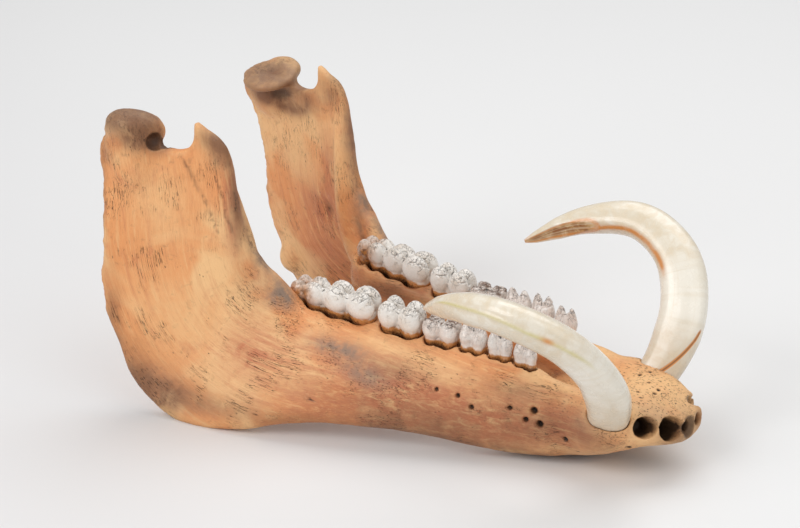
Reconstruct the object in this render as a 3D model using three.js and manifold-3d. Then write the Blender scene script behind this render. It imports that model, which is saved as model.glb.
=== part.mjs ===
// The lower jaw of a male wild boar with both tusks: one fused jaw bone, six cheek teeth a side and
// two curling canines. The incisors have dropped out, so the bone ends in six empty sockets.
// Millimetres. +X runs from the jaw joints to the chin, +Y to the animal's left, +Z up, and the bone
// rests on its two rear angles and on the underside of the chin.
import * as THREE from "three";
import { mergeVertices } from "three/addons/utils/BufferGeometryUtils.js";
import Module from "manifold-3d";

const wasm = await Module();
wasm.setup();

// Driving dimensions.
const JAW_MIDDLE_X = 144.6; // from the rear border, where x is 0 below, to the middle of the whole length
const FIT_GAP = 0.35; // between a tooth or tusk and the wall of its socket
const HALF_RINGS = 36; // rings along one half of the bone
const CHIN_RINGS = 13;
const CHIN_RING_POINTS = 18;
const BAR_RINGS = 12;
const BAR_RING_POINTS = 10;
const PILLAR_RINGS = 7;
const PILLAR_RING_POINTS = 8;
const FLAT_DEPTH = 0.5; // how much the rounded underside is worn flat where it rests

// Stations along one half, from the chin to the top of the ramus. lower runs along the underside,
// round the angle and up the rear border. upper runs along the tooth line and up the front border.
// thick is half the bone's thickness at the lower edge, halfway and at the upper edge, and bow is
// how far the middle bulges outwards.
const HALF_STATIONS = [
  { lower: [253, 14, 12], upper: [250, 19, 38], thick: [3, 5.5, 2.5], bow: 0 },
  { lower: [243, 16.5, 7.5], upper: [240, 21.5, 42.5], thick: [4.5, 7.5, 3.5], bow: 1 },
  { lower: [232, 20, 3.8], upper: [230, 22.3, 44.5], thick: [5.5, 8, 3.5], bow: 1.5 },
  { lower: [214, 26.5, 3], upper: [217, 21.3, 46], thick: [6.5, 8.5, 4.5], bow: 1.5 },
  { lower: [192, 34.5, 5.3], upper: [198, 21.8, 47], thick: [7, 9.5, 6], bow: 2 },
  { lower: [173, 41, 7.9], upper: [178, 22.6, 48], thick: [7.5, 10.5, 8], bow: 2.5 },
  { lower: [157, 47, 9.7], upper: [160, 24, 49], thick: [7.5, 11, 9], bow: 3 },
  { lower: [135, 55, 10.3], upper: [139, 26.5, 50.5], thick: [7, 11.5, 10], bow: 3 },
  { lower: [117, 61, 10.2], upper: [119, 29.5, 53], thick: [6.5, 11, 10.5], bow: 3 },
  { lower: [99, 67, 7], upper: [105, 32.5, 57], thick: [5.5, 9.5, 10], bow: 3 },
  { lower: [87, 70.5, 3.2], upper: [97, 36, 62], thick: [5, 8, 8], bow: 2.5 },
  { lower: [74, 73.3, 1], upper: [93.5, 39.5, 68], thick: [4.8, 6, 6.5], bow: 1.5 },
  { lower: [59, 75, -0.6], upper: [89, 42.5, 74.5], thick: [4.6, 4.5, 5.6], bow: 0.5 },
  { lower: [43.5, 75.3, 0.2], upper: [84, 45, 80.5], thick: [4.6, 3.8, 5], bow: 0 },
  { lower: [28.5, 75.2, 7.3], upper: [79.3, 47, 86.5], thick: [4.4, 3.5, 4.8], bow: -1 },
  { lower: [17.5, 75, 18.5], upper: [76.2, 48.3, 91.5], thick: [4.3, 3.4, 4.6], bow: -1 },
  { lower: [10.3, 75, 34], upper: [74, 49.3, 97], thick: [4.2, 3.3, 4.4], bow: -1 },
  { lower: [4, 74.6, 50], upper: [72.5, 50, 102.5], thick: [4.1, 3.2, 4.3], bow: -1 },
  { lower: [1, 73.7, 68], upper: [71.2, 50.5, 109.5], thick: [4.1, 3.1, 4.2], bow: -1 },
  { lower: [1.6, 72, 86], upper: [70.2, 50.8, 117.5], thick: [4.1, 3.2, 4], bow: -1 },
  { lower: [1.4, 69.5, 104], upper: [69.4, 51, 125.5], thick: [4.3, 3.3, 3.8], bow: -1 },
  { lower: [-0.4, 66, 119], upper: [68.5, 51.2, 133], thick: [4.8, 3.4, 3.4], bow: 0 },
  { lower: [-3.8, 63, 131.5], upper: [66.3, 51.8, 141], thick: [6.4, 3.6, 2.8], bow: 0 },
  { lower: [0, 61, 142], upper: [60, 52.8, 149.5], thick: [9, 4, 2.4], bow: 0 },
  { lower: [3, 60.5, 150], upper: [51, 53.3, 157], thick: [10, 4, 2.2], bow: 0 },
];

// The points round a ring: how far across the plate they lie, in shares of the rounded edge from
// either edge, and in shares of the width between.
const EDGE_POINTS = [0.2, 1];
const MIDDLE_POINTS = [0.28, 0.5, 0.72];

// The raised bar that holds one row of cheek teeth: middle of its top and half its width.
const TOOTH_BAR = [
  { top: [226, 21.2, 45.5], half: 3.6 },
  { top: [216, 21, 48], half: 5 },
  { top: [204, 21.5, 49.8], half: 6 },
  { top: [190, 22.2, 51], half: 7.2 },
  { top: [175, 23, 51.6], half: 8.4 },
  { top: [157, 24.2, 52.3], half: 9.4 },
  { top: [135, 26.4, 54.8], half: 10.8 },
  { top: [113, 28.6, 57.6], half: 11.4 },
  { top: [97, 30.8, 60.4], half: 10.8 },
  { top: [87, 32.6, 61.8], half: 8.4 },
  { top: [81, 34.5, 58], half: 4 },
];
const TOOTH_BAR_DEPTH = 19;
const TOOTH_BAR_CORNERS = { side: 0.55, up: 0.45 }; // the lower, the sharper the corners

// What is left standing at the top of the ramus: the hooked coronoid process in front of the notch.
// The outline is the piece that is cut away, seen from the side.
const NOTCH_FLOOR = [39.8, 137];
const CORONOID_TIP = [48.6, 152.6];
const NOTCH_OUTLINE = {
  hookUp: [[47.4, 148], [47, 143.5], [44.6, 139]],
  neckUp: [[35, 138], [31, 141], [14, 145], [1, 141], [-7, 135], [-20, 128]],
  crest: [[55.2, 149.1], [61.8, 145.6], [66.4, 141.4], [69.3, 135]],
  top: 175,
};

// The joint heads, which are worn to different heights. Each is a flattened ball, wider across the
// jaw than along it, with its outer end up. neckDrop lowers the top of the neck under it.
const HEADS = [
  { side: 1, centre: [17.4, 56.5, 138.4], radii: [15.4, 17, 7.4], neckDrop: 3 },
  { side: -1, centre: [14.6, 57, 143.8], radii: [15.2, 17.2, 9.2], neckDrop: -1 },
];
const HEAD_TILT = 0.4; // radians that the outer end is raised

// The thick pillar inside the front border of the ramus, from below the hook down to the last
// molar, the swelling below the joint head, and the rough lump inside the rear border above the angle.
const PILLAR = [
  { at: [61.5, 52.8, 138], radius: 1 },
  { at: [65, 49, 117], radius: 3.6 },
  { at: [67.7, 47, 98], radius: 5 },
  { at: [71.2, 45.3, 78], radius: 6.4 },
  { at: [78, 43.5, 60], radius: 7.6 },
  { at: [95, 38.5, 42], radius: 7.5 },
];
const NECK = { at: [15.5, 60.8, 131], radii: [15.5, 7.2, 15] };
const REAR_LUMP = { at: [17.5, 69.5, 32], radii: [8, 5.4, 9] };

// Stations of the fused chin from its rear edge to the front: half width, underside, level of the
// greatest width, rim, and how far the scoop between the rims dips.
const CHIN_STATIONS = [
  { x: 201, half: 12, under: 14, wide: 17, rim: 20, dip: 0 },
  { x: 210, half: 20, under: 4, wide: 17, rim: 29, dip: 7 },
  { x: 222, half: 24, under: 0.2, wide: 20, rim: 39.5, dip: 14 },
  { x: 234, half: 28, under: 0, wide: 24, rim: 45.5, dip: 15 },
  { x: 246, half: 31, under: 4, wide: 26, rim: 48.5, dip: 14 },
  { x: 257, half: 32.5, under: 8.5, wide: 26.5, rim: 47.5, dip: 10 },
  { x: 267, half: 29, under: 12.8, wide: 27, rim: 43.5, dip: 5 },
  { x: 276, half: 24, under: 16, wide: 27.5, rim: 40.5, dip: 3 },
  { x: 283.5, half: 20, under: 17.8, wide: 27, rim: 37, dip: 2 },
  { x: 289, half: 15.5, under: 18.8, wide: 27, rim: 34.5, dip: 1 },
  { x: 293, half: 9.5, under: 21, wide: 27.5, rim: 32.5, dip: 0 },
];

// Incisor sockets on one side, from the side to the middle: the mouth's centre, its radius, and
// the direction in which the socket runs into the bone.
const INCISOR_SOCKETS = [
  { mouth: [276, 19.5, 29.3], radius: 5.2, inward: [-0.66, -0.66, -0.36], depth: 13 },
  { mouth: [286, 13.2, 28.2], radius: 6.2, inward: [-0.8, -0.42, -0.42], depth: 15 },
  { mouth: [293.6, 4.4, 28], radius: 3.9, inward: [-0.97, -0.08, -0.22], depth: 9 },
];

// The left tusk's centre line from the hidden root to the tip, and its size along the line:
// radial is half its width in the plane of the curl, side is half its thickness across it.
const TUSK_LINE = [
  [241, 13, 18],
  [253, 18.5, 25.5],
  [261.5, 27.2, 35.8],
  [265.5, 44.5, 61.6],
  [254.2, 60.3, 82.8],
  [229.3, 69, 94.1],
  [202.3, 63.5, 91.5],
  [174.9, 49.4, 79.4],
];
const TUSK_SIZES = [
  { at: 0, radial: 6, side: 5 },
  { at: 0.14, radial: 9.6, side: 6.8 },
  { at: 0.28, radial: 11.8, side: 7.6 },
  { at: 0.45, radial: 11.6, side: 7.8 },
  { at: 0.62, radial: 10, side: 7.9 },
  { at: 0.78, radial: 7.6, side: 7.2 },
  { at: 0.9, radial: 5.4, side: 4.8 },
  { at: 0.97, radial: 2.8, side: 2.4 },
  { at: 1, radial: 0.9, side: 0.8 },
];
const TUSK_RINGS = 22;
const TUSK_RING_POINTS = 10;
const TUSK_CORNERS = 0.85; // the lower, the squarer the section
const TUSK_KEEL = 0.22; // how much the section narrows towards the outside of the curl
const TUSK_SPIRAL_NORMAL = [0.07, -0.78, 0.62]; // normal of the plane that the left tusk curls in

// Cheek teeth of the left side, from the front to the rear. start and end are where the crown
// meets its neighbours, neck is the height where the crown meets its root at either end, and rise
// is the crown's height, with leftRise where the left tooth stands taller than the right one.
const BLADE = { lobes: 2, tapers: false, crown: "blade" };
const GRINDER = { lobes: 2, tapers: false, crown: "grinder" };
const LONG_GRINDER = { lobes: 3, tapers: true, crown: "grinder" };
const TEETH = [
  {
    name: "premolar_2", form: BLADE, start: [220, 20.6], end: [207.4, 21.2],
    neck: [49.2, 50.2], rise: 9.3, leftRise: 12.5, width: 6.4,
  },
  {
    name: "premolar_3", form: BLADE, start: [207, 21.3], end: [193.9, 22],
    neck: [51, 52], rise: 11.5, leftRise: 14, width: 8,
  },
  {
    name: "premolar_4", form: BLADE, start: [193.5, 22], end: [178.9, 22.6],
    neck: [52.2, 52.8], rise: 11.8, leftRise: 13, width: 10.2,
  },
  {
    name: "molar_1", form: GRINDER, start: [178.5, 22.6], end: [159.4, 23.6],
    neck: [53, 54], rise: 10.5, width: 12.8,
  },
  {
    name: "molar_2", form: GRINDER, start: [159, 23.6], end: [135.2, 25.6],
    neck: [54.5, 56.5], rise: 12.2, width: 15.4,
  },
  {
    name: "molar_3", form: LONG_GRINDER, start: [134.8, 25.7], end: [87.5, 31.6],
    neck: [57, 62.5], rise: 12.6, width: 17.6,
  },
];
const ROOT_DEPTH = 12;
const TOOTH_CORNERS = 0.8; // the lower, the squarer the outline
const WAIST = 0.8; // the width between two lobes, as a share of the full width
const TAPER = { width: 0.24, height: 0.3 }; // what the last molar loses towards the rear

// How a tooth's outline changes from the root's end up the crown and in over its top: a share of
// its half length and half width, its height as a share of the crown's rise, and how much of that
// height the valleys between the lobes lose.
const GRINDER_RINGS = [
  { long: 0.9, wide: 0.8, up: -0.12, valley: 0 },
  { long: 0.97, wide: 0.97, up: 0.22, valley: 0 },
  { long: 0.96, wide: 0.94, up: 0.62, valley: 0.15 },
  { long: 0.84, wide: 0.6, up: 1, valley: 0.42 },
  { long: 0.74, wide: 0.14, up: 0.62, valley: 0.2 },
];
const BLADE_RINGS = [
  { long: 0.9, wide: 0.8, up: -0.12, valley: 0 },
  { long: 0.97, wide: 1, up: 0.25, valley: 0 },
  { long: 0.92, wide: 0.72, up: 0.68, valley: 0.25 },
  { long: 0.8, wide: 0.16, up: 1, valley: 0.5 },
];
const ROOT_END = { long: 0.6, wide: 0.55, up: 0, valley: 0 };
const LOBE_POINTS = 8; // points round the outline for each lobe
const SOCKET_POINTS = 10;

// One closed surface through rings of points, with a fan over each end.
function loft(rings) {
  const around = rings[0].length;
  const positions = rings.flat().flatMap((p) => [p.x, p.y, p.z]);
  const faces = [];
  for (let r = 0; r + 1 < rings.length; r += 1) {
    for (let k = 0; k < around; k += 1) {
      const a = r * around + k;
      const b = r * around + ((k + 1) % around);
      faces.push(a, b, b + around, a, b + around, a + around);
    }
  }
  const centres = [rings[0], rings[rings.length - 1]].map((ring) =>
    ring.reduce((sum, p) => sum.add(p), new THREE.Vector3()).divideScalar(around),
  );
  positions.push(...centres.flatMap((p) => [p.x, p.y, p.z]));
  const first = rings.length * around;
  const lastRing = first - around;
  for (let k = 0; k < around; k += 1) {
    const next = (k + 1) % around;
    faces.push(first, next, k);
    faces.push(first + 1, lastRing + k, lastRing + next);
  }
  const geometry = new THREE.BufferGeometry();
  geometry.setAttribute("position", new THREE.Float32BufferAttribute(positions, 3));
  geometry.setIndex(faces);
  return geometry;
}

// A geometry as a solid that can be joined and cut, turned to face outwards if it doesn't.
function solid(geometry) {
  const bare = geometry.clone();
  bare.deleteAttribute("normal");
  bare.deleteAttribute("uv");
  const merged = mergeVertices(bare, 1e-4);
  const corners = new Uint32Array(merged.index.array);
  const make = () =>
    new wasm.Manifold(
      new wasm.Mesh({
        numProp: 3,
        vertProperties: merged.attributes.position.array,
        triVerts: corners,
      }),
    );
  const made = make();
  if (made.volume() > 0) {
    return made;
  }
  for (let i = 0; i < corners.length; i += 3) {
    [corners[i + 1], corners[i + 2]] = [corners[i + 2], corners[i + 1]];
  }
  return make();
}

function geometryOf(made) {
  const mesh = made.getMesh();
  const geometry = new THREE.BufferGeometry();
  geometry.setAttribute("position", new THREE.Float32BufferAttribute(mesh.vertProperties, 3));
  geometry.setIndex(new THREE.BufferAttribute(mesh.triVerts, 1));
  return geometry;
}

// The same shape on the other side of the midline.
function mirrored(geometry) {
  return geometry.clone().scale(1, -1, 1);
}

const signedPower = (value, power) => Math.sign(value) * Math.abs(value) ** power;

// A value at a share of the way along a list of stations, smoothly through all of them.
function along(values, share) {
  const points = values.map((v) => new THREE.Vector3(...v));
  return new THREE.CatmullRomCurve3(points).getPoint(share);
}

// One half of the bone, as rings round the plate between its lower and its upper edge.
function halfJaw() {
  const lower = HALF_STATIONS.map((s) => s.lower);
  const upper = HALF_STATIONS.map((s) => s.upper);
  const thick = HALF_STATIONS.map((s) => s.thick);
  const bow = HALF_STATIONS.map((s) => [s.bow, 0, 0]);
  const middle = (share) => along(lower, share).lerp(along(upper, share), 0.5);
  const rings = [];
  for (let r = 0; r < HALF_RINGS; r += 1) {
    const share = r / (HALF_RINGS - 1);
    const low = along(lower, share);
    const high = along(upper, share);
    const width = low.distanceTo(high);
    const onward = middle(Math.min(1, share + 0.01)).sub(middle(Math.max(0, share - 0.01)));
    const outward = onward.cross(high.clone().sub(low)).normalize();
    if (outward.y < 0) {
      outward.negate();
    }
    const { x: atLower, y: halfway, z: atUpper } = along(thick, share);
    const bulge = along(bow, share).x;
    const pointAt = (across, side) => {
      const t = 2 * across - 1;
      const full = (atLower * t * (t - 1)) / 2 + halfway * (1 - t * t) + (atUpper * t * (t + 1)) / 2;
      const edge = Math.min(across, 1 - across) * width;
      const radius = across < 0.5 ? atLower : atUpper;
      const round = edge < radius ? Math.sqrt(1 - (1 - edge / radius) ** 2) : 1;
      const offset = side * full * round + bulge * (1 - t * t);
      return low.clone().lerp(high, across).addScaledVector(outward, offset);
    };
    const shares = [
      ...EDGE_POINTS.map((e) => (e * atLower) / width),
      ...MIDDLE_POINTS,
      ...EDGE_POINTS.map((e) => 1 - (e * atUpper) / width).toReversed(),
    ];
    rings.push([
      low,
      ...shares.map((across) => pointAt(across, 1)),
      high,
      ...shares.toReversed().map((across) => pointAt(across, -1)),
    ]);
  }
  return loft(rings);
}

// The bar along the tooth row: a rounded box section whose top follows the necks of the teeth.
function toothBar() {
  const tops = TOOTH_BAR.map((s) => s.top);
  const halves = TOOTH_BAR.map((s) => [s.half, 0, 0]);
  const rings = Array.from({ length: BAR_RINGS }, (_, r) => {
    const share = r / (BAR_RINGS - 1);
    const { x, y, z } = along(tops, share);
    const half = along(halves, share).x;
    return Array.from({ length: BAR_RING_POINTS }, (_, k) => {
      const angle = (2 * Math.PI * (k + 0.5)) / BAR_RING_POINTS;
      const side = half * signedPower(Math.cos(angle), TOOTH_BAR_CORNERS.side);
      const rise = signedPower(Math.sin(angle), TOOTH_BAR_CORNERS.up);
      const up = (TOOTH_BAR_DEPTH / 2) * (rise - 1);
      return new THREE.Vector3(x, y + side, z + up);
    });
  });
  return loft(rings);
}

// The block above the neck, the notch and the hook on one side of the midline.
function notchCutter({ side, neckDrop }) {
  const { hookUp, neckUp, crest, top } = NOTCH_OUTLINE;
  const outline = new THREE.Shape();
  outline.moveTo(...CORONOID_TIP);
  const neck = neckUp.map(([x, z], i) => [x, i > 1 ? z - neckDrop : z]);
  outline.splineThru([...hookUp, NOTCH_FLOOR, ...neck].map((p) => new THREE.Vector2(...p)));
  const clear = 60; // beyond the bone on either side
  outline.lineTo(neckUp.at(-1)[0] - clear, top);
  outline.lineTo(crest.at(-1)[0] + clear, top);
  outline.lineTo(crest.at(-1)[0] + clear, crest.at(-1)[1]);
  for (const p of crest.toReversed()) outline.lineTo(...p);
  const depth = 100;
  const block = new THREE.ExtrudeGeometry(outline, { depth, bevelEnabled: false, curveSegments: 3 });
  return block.rotateX(Math.PI / 2).translate(0, side > 0 ? depth : 0, 0);
}

// A lump of given radii.
function ball(radii, segments) {
  return new THREE.SphereGeometry(1, ...segments).rotateX(Math.PI / 2).scale(...radii);
}

// One joint head.
function jointHead({ side, centre, radii }) {
  const head = ball(radii, [12, 7]).rotateX(HEAD_TILT).translate(...centre);
  return solid(side > 0 ? head : mirrored(head));
}

// The pillar as a tube that swells downwards.
function pillar() {
  const line = PILLAR.map((p) => p.at);
  const radii = PILLAR.map((p) => [p.radius, 0, 0]);
  const rings = Array.from({ length: PILLAR_RINGS }, (_, r) => {
    const share = r / (PILLAR_RINGS - 1);
    const before = along(line, Math.max(0, share - 0.01));
    const onward = along(line, Math.min(1, share + 0.01)).sub(before).normalize();
    const across = new THREE.Vector3(0, 1, 0).cross(onward).normalize();
    const inward = onward.clone().cross(across);
    const radius = along(radii, share).x;
    return Array.from({ length: PILLAR_RING_POINTS }, (_, k) => {
      const angle = (2 * Math.PI * k) / PILLAR_RING_POINTS;
      return along(line, share)
        .addScaledVector(across, radius * Math.cos(angle))
        .addScaledVector(inward, radius * Math.sin(angle));
    });
  });
  return loft(rings);
}

// The fused front of the jaw: a scoop with a rounded underside.
function chin() {
  const rows = CHIN_STATIONS.map((s) => [s.x, s.half, s.under]);
  const tops = CHIN_STATIONS.map((s) => [s.wide, s.rim, s.dip]);
  const rings = [];
  for (let r = 0; r < CHIN_RINGS; r += 1) {
    const share = r / (CHIN_RINGS - 1);
    const { x, y: half, z: under } = along(rows, share);
    const { x: wide, y: rim, z: dip } = along(tops, share);
    const ring = [];
    for (let k = 0; k < CHIN_RING_POINTS; k += 1) {
      const angle = (2 * Math.PI * k) / CHIN_RING_POINTS;
      const side = signedPower(Math.cos(angle), 0.9);
      const up = Math.sin(angle);
      const hollow = dip * (1 - side ** 2) ** 1.5;
      const below = (wide - under) * signedPower(Math.min(up, 0), 0.7);
      const above = (rim - wide) * Math.max(up, 0) ** 0.6 - hollow * Math.max(up, 0);
      ring.push(new THREE.Vector3(x, half * side, wide + below + above));
    }
    rings.push(ring);
  }
  return loft(rings);
}

// A tapered plug that cuts one incisor socket, starting a little outside its mouth.
function incisorSocket({ mouth, radius, inward, depth }) {
  const lead = 6; // in front of the mouth
  const [mouthRadius, endRadius] = [radius * 1.1, radius * 0.55];
  const plug = new THREE.CylinderGeometry(mouthRadius, endRadius, depth + lead, 9);
  plug.translate(0, (lead - depth) / 2, 0);
  const turn = new THREE.Quaternion().setFromUnitVectors(
    new THREE.Vector3(0, -1, 0),
    new THREE.Vector3(...inward).normalize(),
  );
  return plug.applyQuaternion(turn).translate(...mouth);
}

// A tusk as rings of a rounded triangle: a keel on the outside of the curl, a flat face inside it.
function tusk(extra = 0) {
  const line = new THREE.CatmullRomCurve3(TUSK_LINE.map((p) => new THREE.Vector3(...p)));
  const normal = new THREE.Vector3(...TUSK_SPIRAL_NORMAL).normalize();
  const sizeAt = (share) => {
    const next = TUSK_SIZES.findIndex((s) => s.at >= share);
    const b = TUSK_SIZES[Math.max(next, 1)];
    const a = TUSK_SIZES[Math.max(next, 1) - 1];
    const mix = (share - a.at) / (b.at - a.at);
    return [a.radial + (b.radial - a.radial) * mix, a.side + (b.side - a.side) * mix];
  };
  const rings = [];
  for (let r = 0; r < TUSK_RINGS; r += 1) {
    const share = r / (TUSK_RINGS - 1);
    const centre = line.getPointAt(share);
    const onward = line.getTangentAt(share);
    const outer = onward.clone().cross(normal).normalize();
    const flank = outer.clone().cross(onward).normalize();
    const [radial, side] = sizeAt(share);
    const ring = [];
    for (let k = 0; k < TUSK_RING_POINTS; k += 1) {
      const angle = (2 * Math.PI * k) / TUSK_RING_POINTS;
      const out = Math.cos(angle);
      const wide = signedPower(Math.sin(angle), TUSK_CORNERS) * (1 - TUSK_KEEL * out);
      ring.push(
        centre
          .clone()
          .addScaledVector(outer, (radial + extra) * signedPower(out, TUSK_CORNERS))
          .addScaledVector(flank, (side + extra) * wide),
      );
    }
    rings.push(ring);
  }
  return loft(rings);
}

// A stack of outlines from the root's end upwards, on a tooth's place in the row. Without lobes the
// outline is a plain oval.
function stackOnRow({ form, start, end, neck, rise, width }, stack, around, lobed, extra) {
  const middle = new THREE.Vector3((start[0] + end[0]) / 2, (start[1] + end[1]) / 2, 0);
  const forward = new THREE.Vector3(start[0] - end[0], start[1] - end[1], 0);
  const length = forward.length();
  forward.normalize();
  const outward = new THREE.Vector3(-forward.y, forward.x, 0);
  const rings = stack.map(({ long, wide, up, valley, below = 0 }) =>
    Array.from({ length: around }, (_, k) => {
      const angle = (2 * Math.PI * k) / around;
      const x = signedPower(Math.cos(angle), TOOTH_CORNERS);
      const fromFront = (1 - x) / 2;
      const lobe = lobed ? Math.abs(Math.sin(Math.PI * form.lobes * fromFront)) ** 0.8 : 1;
      const shrink = form.tapers ? fromFront ** 2 : 0;
      const waist = (WAIST + (1 - WAIST) * lobe) * (1 - TAPER.width * shrink);
      const y = signedPower(Math.sin(angle), TOOTH_CORNERS) * waist;
      const height = rise * up * (1 - valley * (1 - lobe)) * (1 - TAPER.height * shrink);
      return middle
        .clone()
        .addScaledVector(forward, (length / 2) * long * x + Math.sign(x) * extra)
        .addScaledVector(outward, (width / 2) * wide * y + Math.sign(y) * extra)
        .setZ(neck[0] + (neck[1] - neck[0]) * fromFront + height - below);
    }),
  );
  return loft(rings);
}

function tooth(sizes) {
  const crown = sizes.form.crown === "grinder" ? GRINDER_RINGS : BLADE_RINGS;
  const stack = [{ ...ROOT_END, below: ROOT_DEPTH }, ...crown];
  return stackOnRow(sizes, stack, LOBE_POINTS * sizes.form.lobes, true, 0);
}

// A plain oval plug a little larger than the tooth, from below its root to above the bone.
function toothSocket(sizes) {
  const stack = [
    { ...ROOT_END, below: ROOT_DEPTH + FIT_GAP },
    { long: 0.92, wide: 0.84, up: -0.16, valley: 0 },
    { long: 0.98, wide: 1, up: 0.18, valley: 0 },
    { long: 0.98, wide: 1, up: 0.9, valley: 0 },
  ];
  return stackOnRow(sizes, stack, SOCKET_POINTS, false, 2.4 * FIT_GAP);
}

// The whole bone: both halves, the chin and the joint heads, with the sockets cut out.
function jawBone() {
  const half = halfJaw();
  const lump = ball(REAR_LUMP.radii, [6, 5]).translate(...REAR_LUMP.at);
  const neck = ball(NECK.radii, [9, 7]).translate(...NECK.at);
  const [floorLength, floorWidth, floorDepth] = [600, 400, 40];
  const floor = new THREE.BoxGeometry(floorLength, floorWidth, floorDepth);
  floor.translate(JAW_MIDDLE_X, 0, FLAT_DEPTH - floorDepth / 2);
  let bone = solid(half).add(solid(mirrored(half)));
  for (const head of HEADS) bone = bone.subtract(solid(notchCutter(head)));
  for (const extra of [toothBar(), pillar(), neck, lump]) {
    bone = bone.add(solid(extra)).add(solid(mirrored(extra)));
  }
  for (const head of HEADS) bone = bone.add(jointHead(head));
  bone = bone.add(solid(chin()));
  const sockets = [...INCISOR_SOCKETS.map(incisorSocket), tusk(FIT_GAP)];
  sockets.push(...TEETH.map(toothSocket));
  for (const socket of sockets) {
    bone = bone.subtract(solid(socket)).subtract(solid(mirrored(socket)));
  }
  return bone.subtract(solid(floor));
}

const boneMaterial = new THREE.MeshStandardMaterial({ color: "#c98a55", roughness: 0.6 });
const toothMaterial = new THREE.MeshStandardMaterial({ color: "#d9d2c4", roughness: 0.35 });
const tuskMaterial = new THREE.MeshStandardMaterial({ color: "#e6dfc8", roughness: 0.3 });

const boarJaw = new THREE.Group();
boarJaw.position.set(-JAW_MIDDLE_X, 0, -FLAT_DEPTH);

function addPiece(name, made, material) {
  const mesh = new THREE.Mesh(geometryOf(made), material);
  mesh.name = name;
  boarJaw.add(mesh);
}

addPiece("jaw_bone", jawBone(), boneMaterial);
addPiece("left_tusk", solid(tusk()), tuskMaterial);
addPiece("right_tusk", solid(mirrored(tusk())), tuskMaterial);
for (const sizes of TEETH) {
  const { name, rise, leftRise = rise } = sizes;
  addPiece("left_" + name, solid(tooth({ ...sizes, rise: leftRise })), toothMaterial);
  addPiece("right_" + name, solid(mirrored(tooth(sizes))), toothMaterial);
}

export default boarJaw;
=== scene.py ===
"""The lower jaw of a male wild boar with both tusks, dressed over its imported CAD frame.

Measures are in millimetres in the jaw's own measuring frame, where x is 0 at the foot of the rear
border, y is 0 in the middle and z is 0 half a millimetre under the resting plane. They are turned
into metres in the row frame where a mesh is made.
"""

import logging
import math
from dataclasses import dataclass, field
from enum import Enum
from typing import Optional, Sequence

import bpy
import numpy as np
from mathutils import Matrix, Vector
from mathutils.kdtree import KDTree

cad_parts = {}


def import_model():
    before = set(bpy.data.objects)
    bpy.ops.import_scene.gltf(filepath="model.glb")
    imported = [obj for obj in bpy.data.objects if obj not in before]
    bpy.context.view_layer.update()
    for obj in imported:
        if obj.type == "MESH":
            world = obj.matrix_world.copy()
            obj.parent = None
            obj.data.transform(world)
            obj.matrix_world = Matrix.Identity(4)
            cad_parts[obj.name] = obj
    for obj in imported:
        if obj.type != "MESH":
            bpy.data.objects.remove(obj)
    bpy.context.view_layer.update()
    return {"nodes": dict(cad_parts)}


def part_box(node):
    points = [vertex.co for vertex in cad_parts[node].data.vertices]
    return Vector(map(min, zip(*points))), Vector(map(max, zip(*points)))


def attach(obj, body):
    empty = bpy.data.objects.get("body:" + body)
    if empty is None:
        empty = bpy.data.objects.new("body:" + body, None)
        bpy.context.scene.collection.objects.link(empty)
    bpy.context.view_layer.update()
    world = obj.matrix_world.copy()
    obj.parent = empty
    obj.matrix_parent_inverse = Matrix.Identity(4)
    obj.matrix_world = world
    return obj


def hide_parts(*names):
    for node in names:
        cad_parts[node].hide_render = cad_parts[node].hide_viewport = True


LOG = logging.getLogger("boar_jaw")
MM = 0.001
MEASURE_ORIGIN = np.array([144.6, 0.0, 0.5])
IMAGE_SIZE = (800, 528)
Array = np.ndarray


class Side(Enum):
    """The animal's own sides, with the sign of y on each."""

    LEFT = 1
    RIGHT = -1


class Crown(Enum):
    """The kinds of cheek tooth."""

    GRINDER = "paired rounded cusps"
    WORN = "paired cusps ground flat"
    BLADE = "one row of sharp cusps"


BOTH = (Side.LEFT, Side.RIGHT)
NEAR = (Side.RIGHT,)
FAR = (Side.LEFT,)

# Numbers: curves, noise and relaxing


def to_row(points: Array) -> Array:
    """Turn measured millimetres into metres in the row frame."""
    return (np.asarray(points, float) - MEASURE_ORIGIN) * MM


def to_measured(points: Array) -> Array:
    """Turn metres in the row frame into measured millimetres."""
    return np.asarray(points, float) / MM + MEASURE_ORIGIN


def signed_power(values: Array, power: float) -> Array:
    """Raise the size of each value to a power and keep its sign."""
    return np.sign(values) * np.abs(values) ** power


def ramp(low: float, high: float, values: Array) -> Array:
    """Rise smoothly from 0 at low to 1 at high."""
    share = np.clip((values - low) / (high - low), 0.0, 1.0)
    return share * share * (3.0 - 2.0 * share)


def blob(points: Array, centre: Sequence[float], radii: Sequence[float]) -> Array:
    """Give 1 at a centre, falling smoothly to nothing at about twice the radii.

    Args:
        points: The places asked about, one row each.
        centre: The middle of the blob.
        radii: Its radius along each axis.

    Returns:
        One weight for each point.
    """
    offset = (points - np.asarray(centre, float)) / np.asarray(radii, float)
    return np.exp(-(offset**2).sum(axis=1))


def marked(points: Array, marks: Sequence[tuple]) -> Array:
    """Add up marks scattered over the jaw.

    Args:
        points: The places asked about, one row each.
        marks: For each mark its centre on the left side, its radii, its strength and its sides.

    Returns:
        One weight for each point.
    """
    total = np.zeros(len(points))
    for centre, radii, strength, sides in marks:
        for side in sides:
            total += strength * blob(points, np.array(centre) * (1, side.value, 1), radii)
    return total


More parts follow.
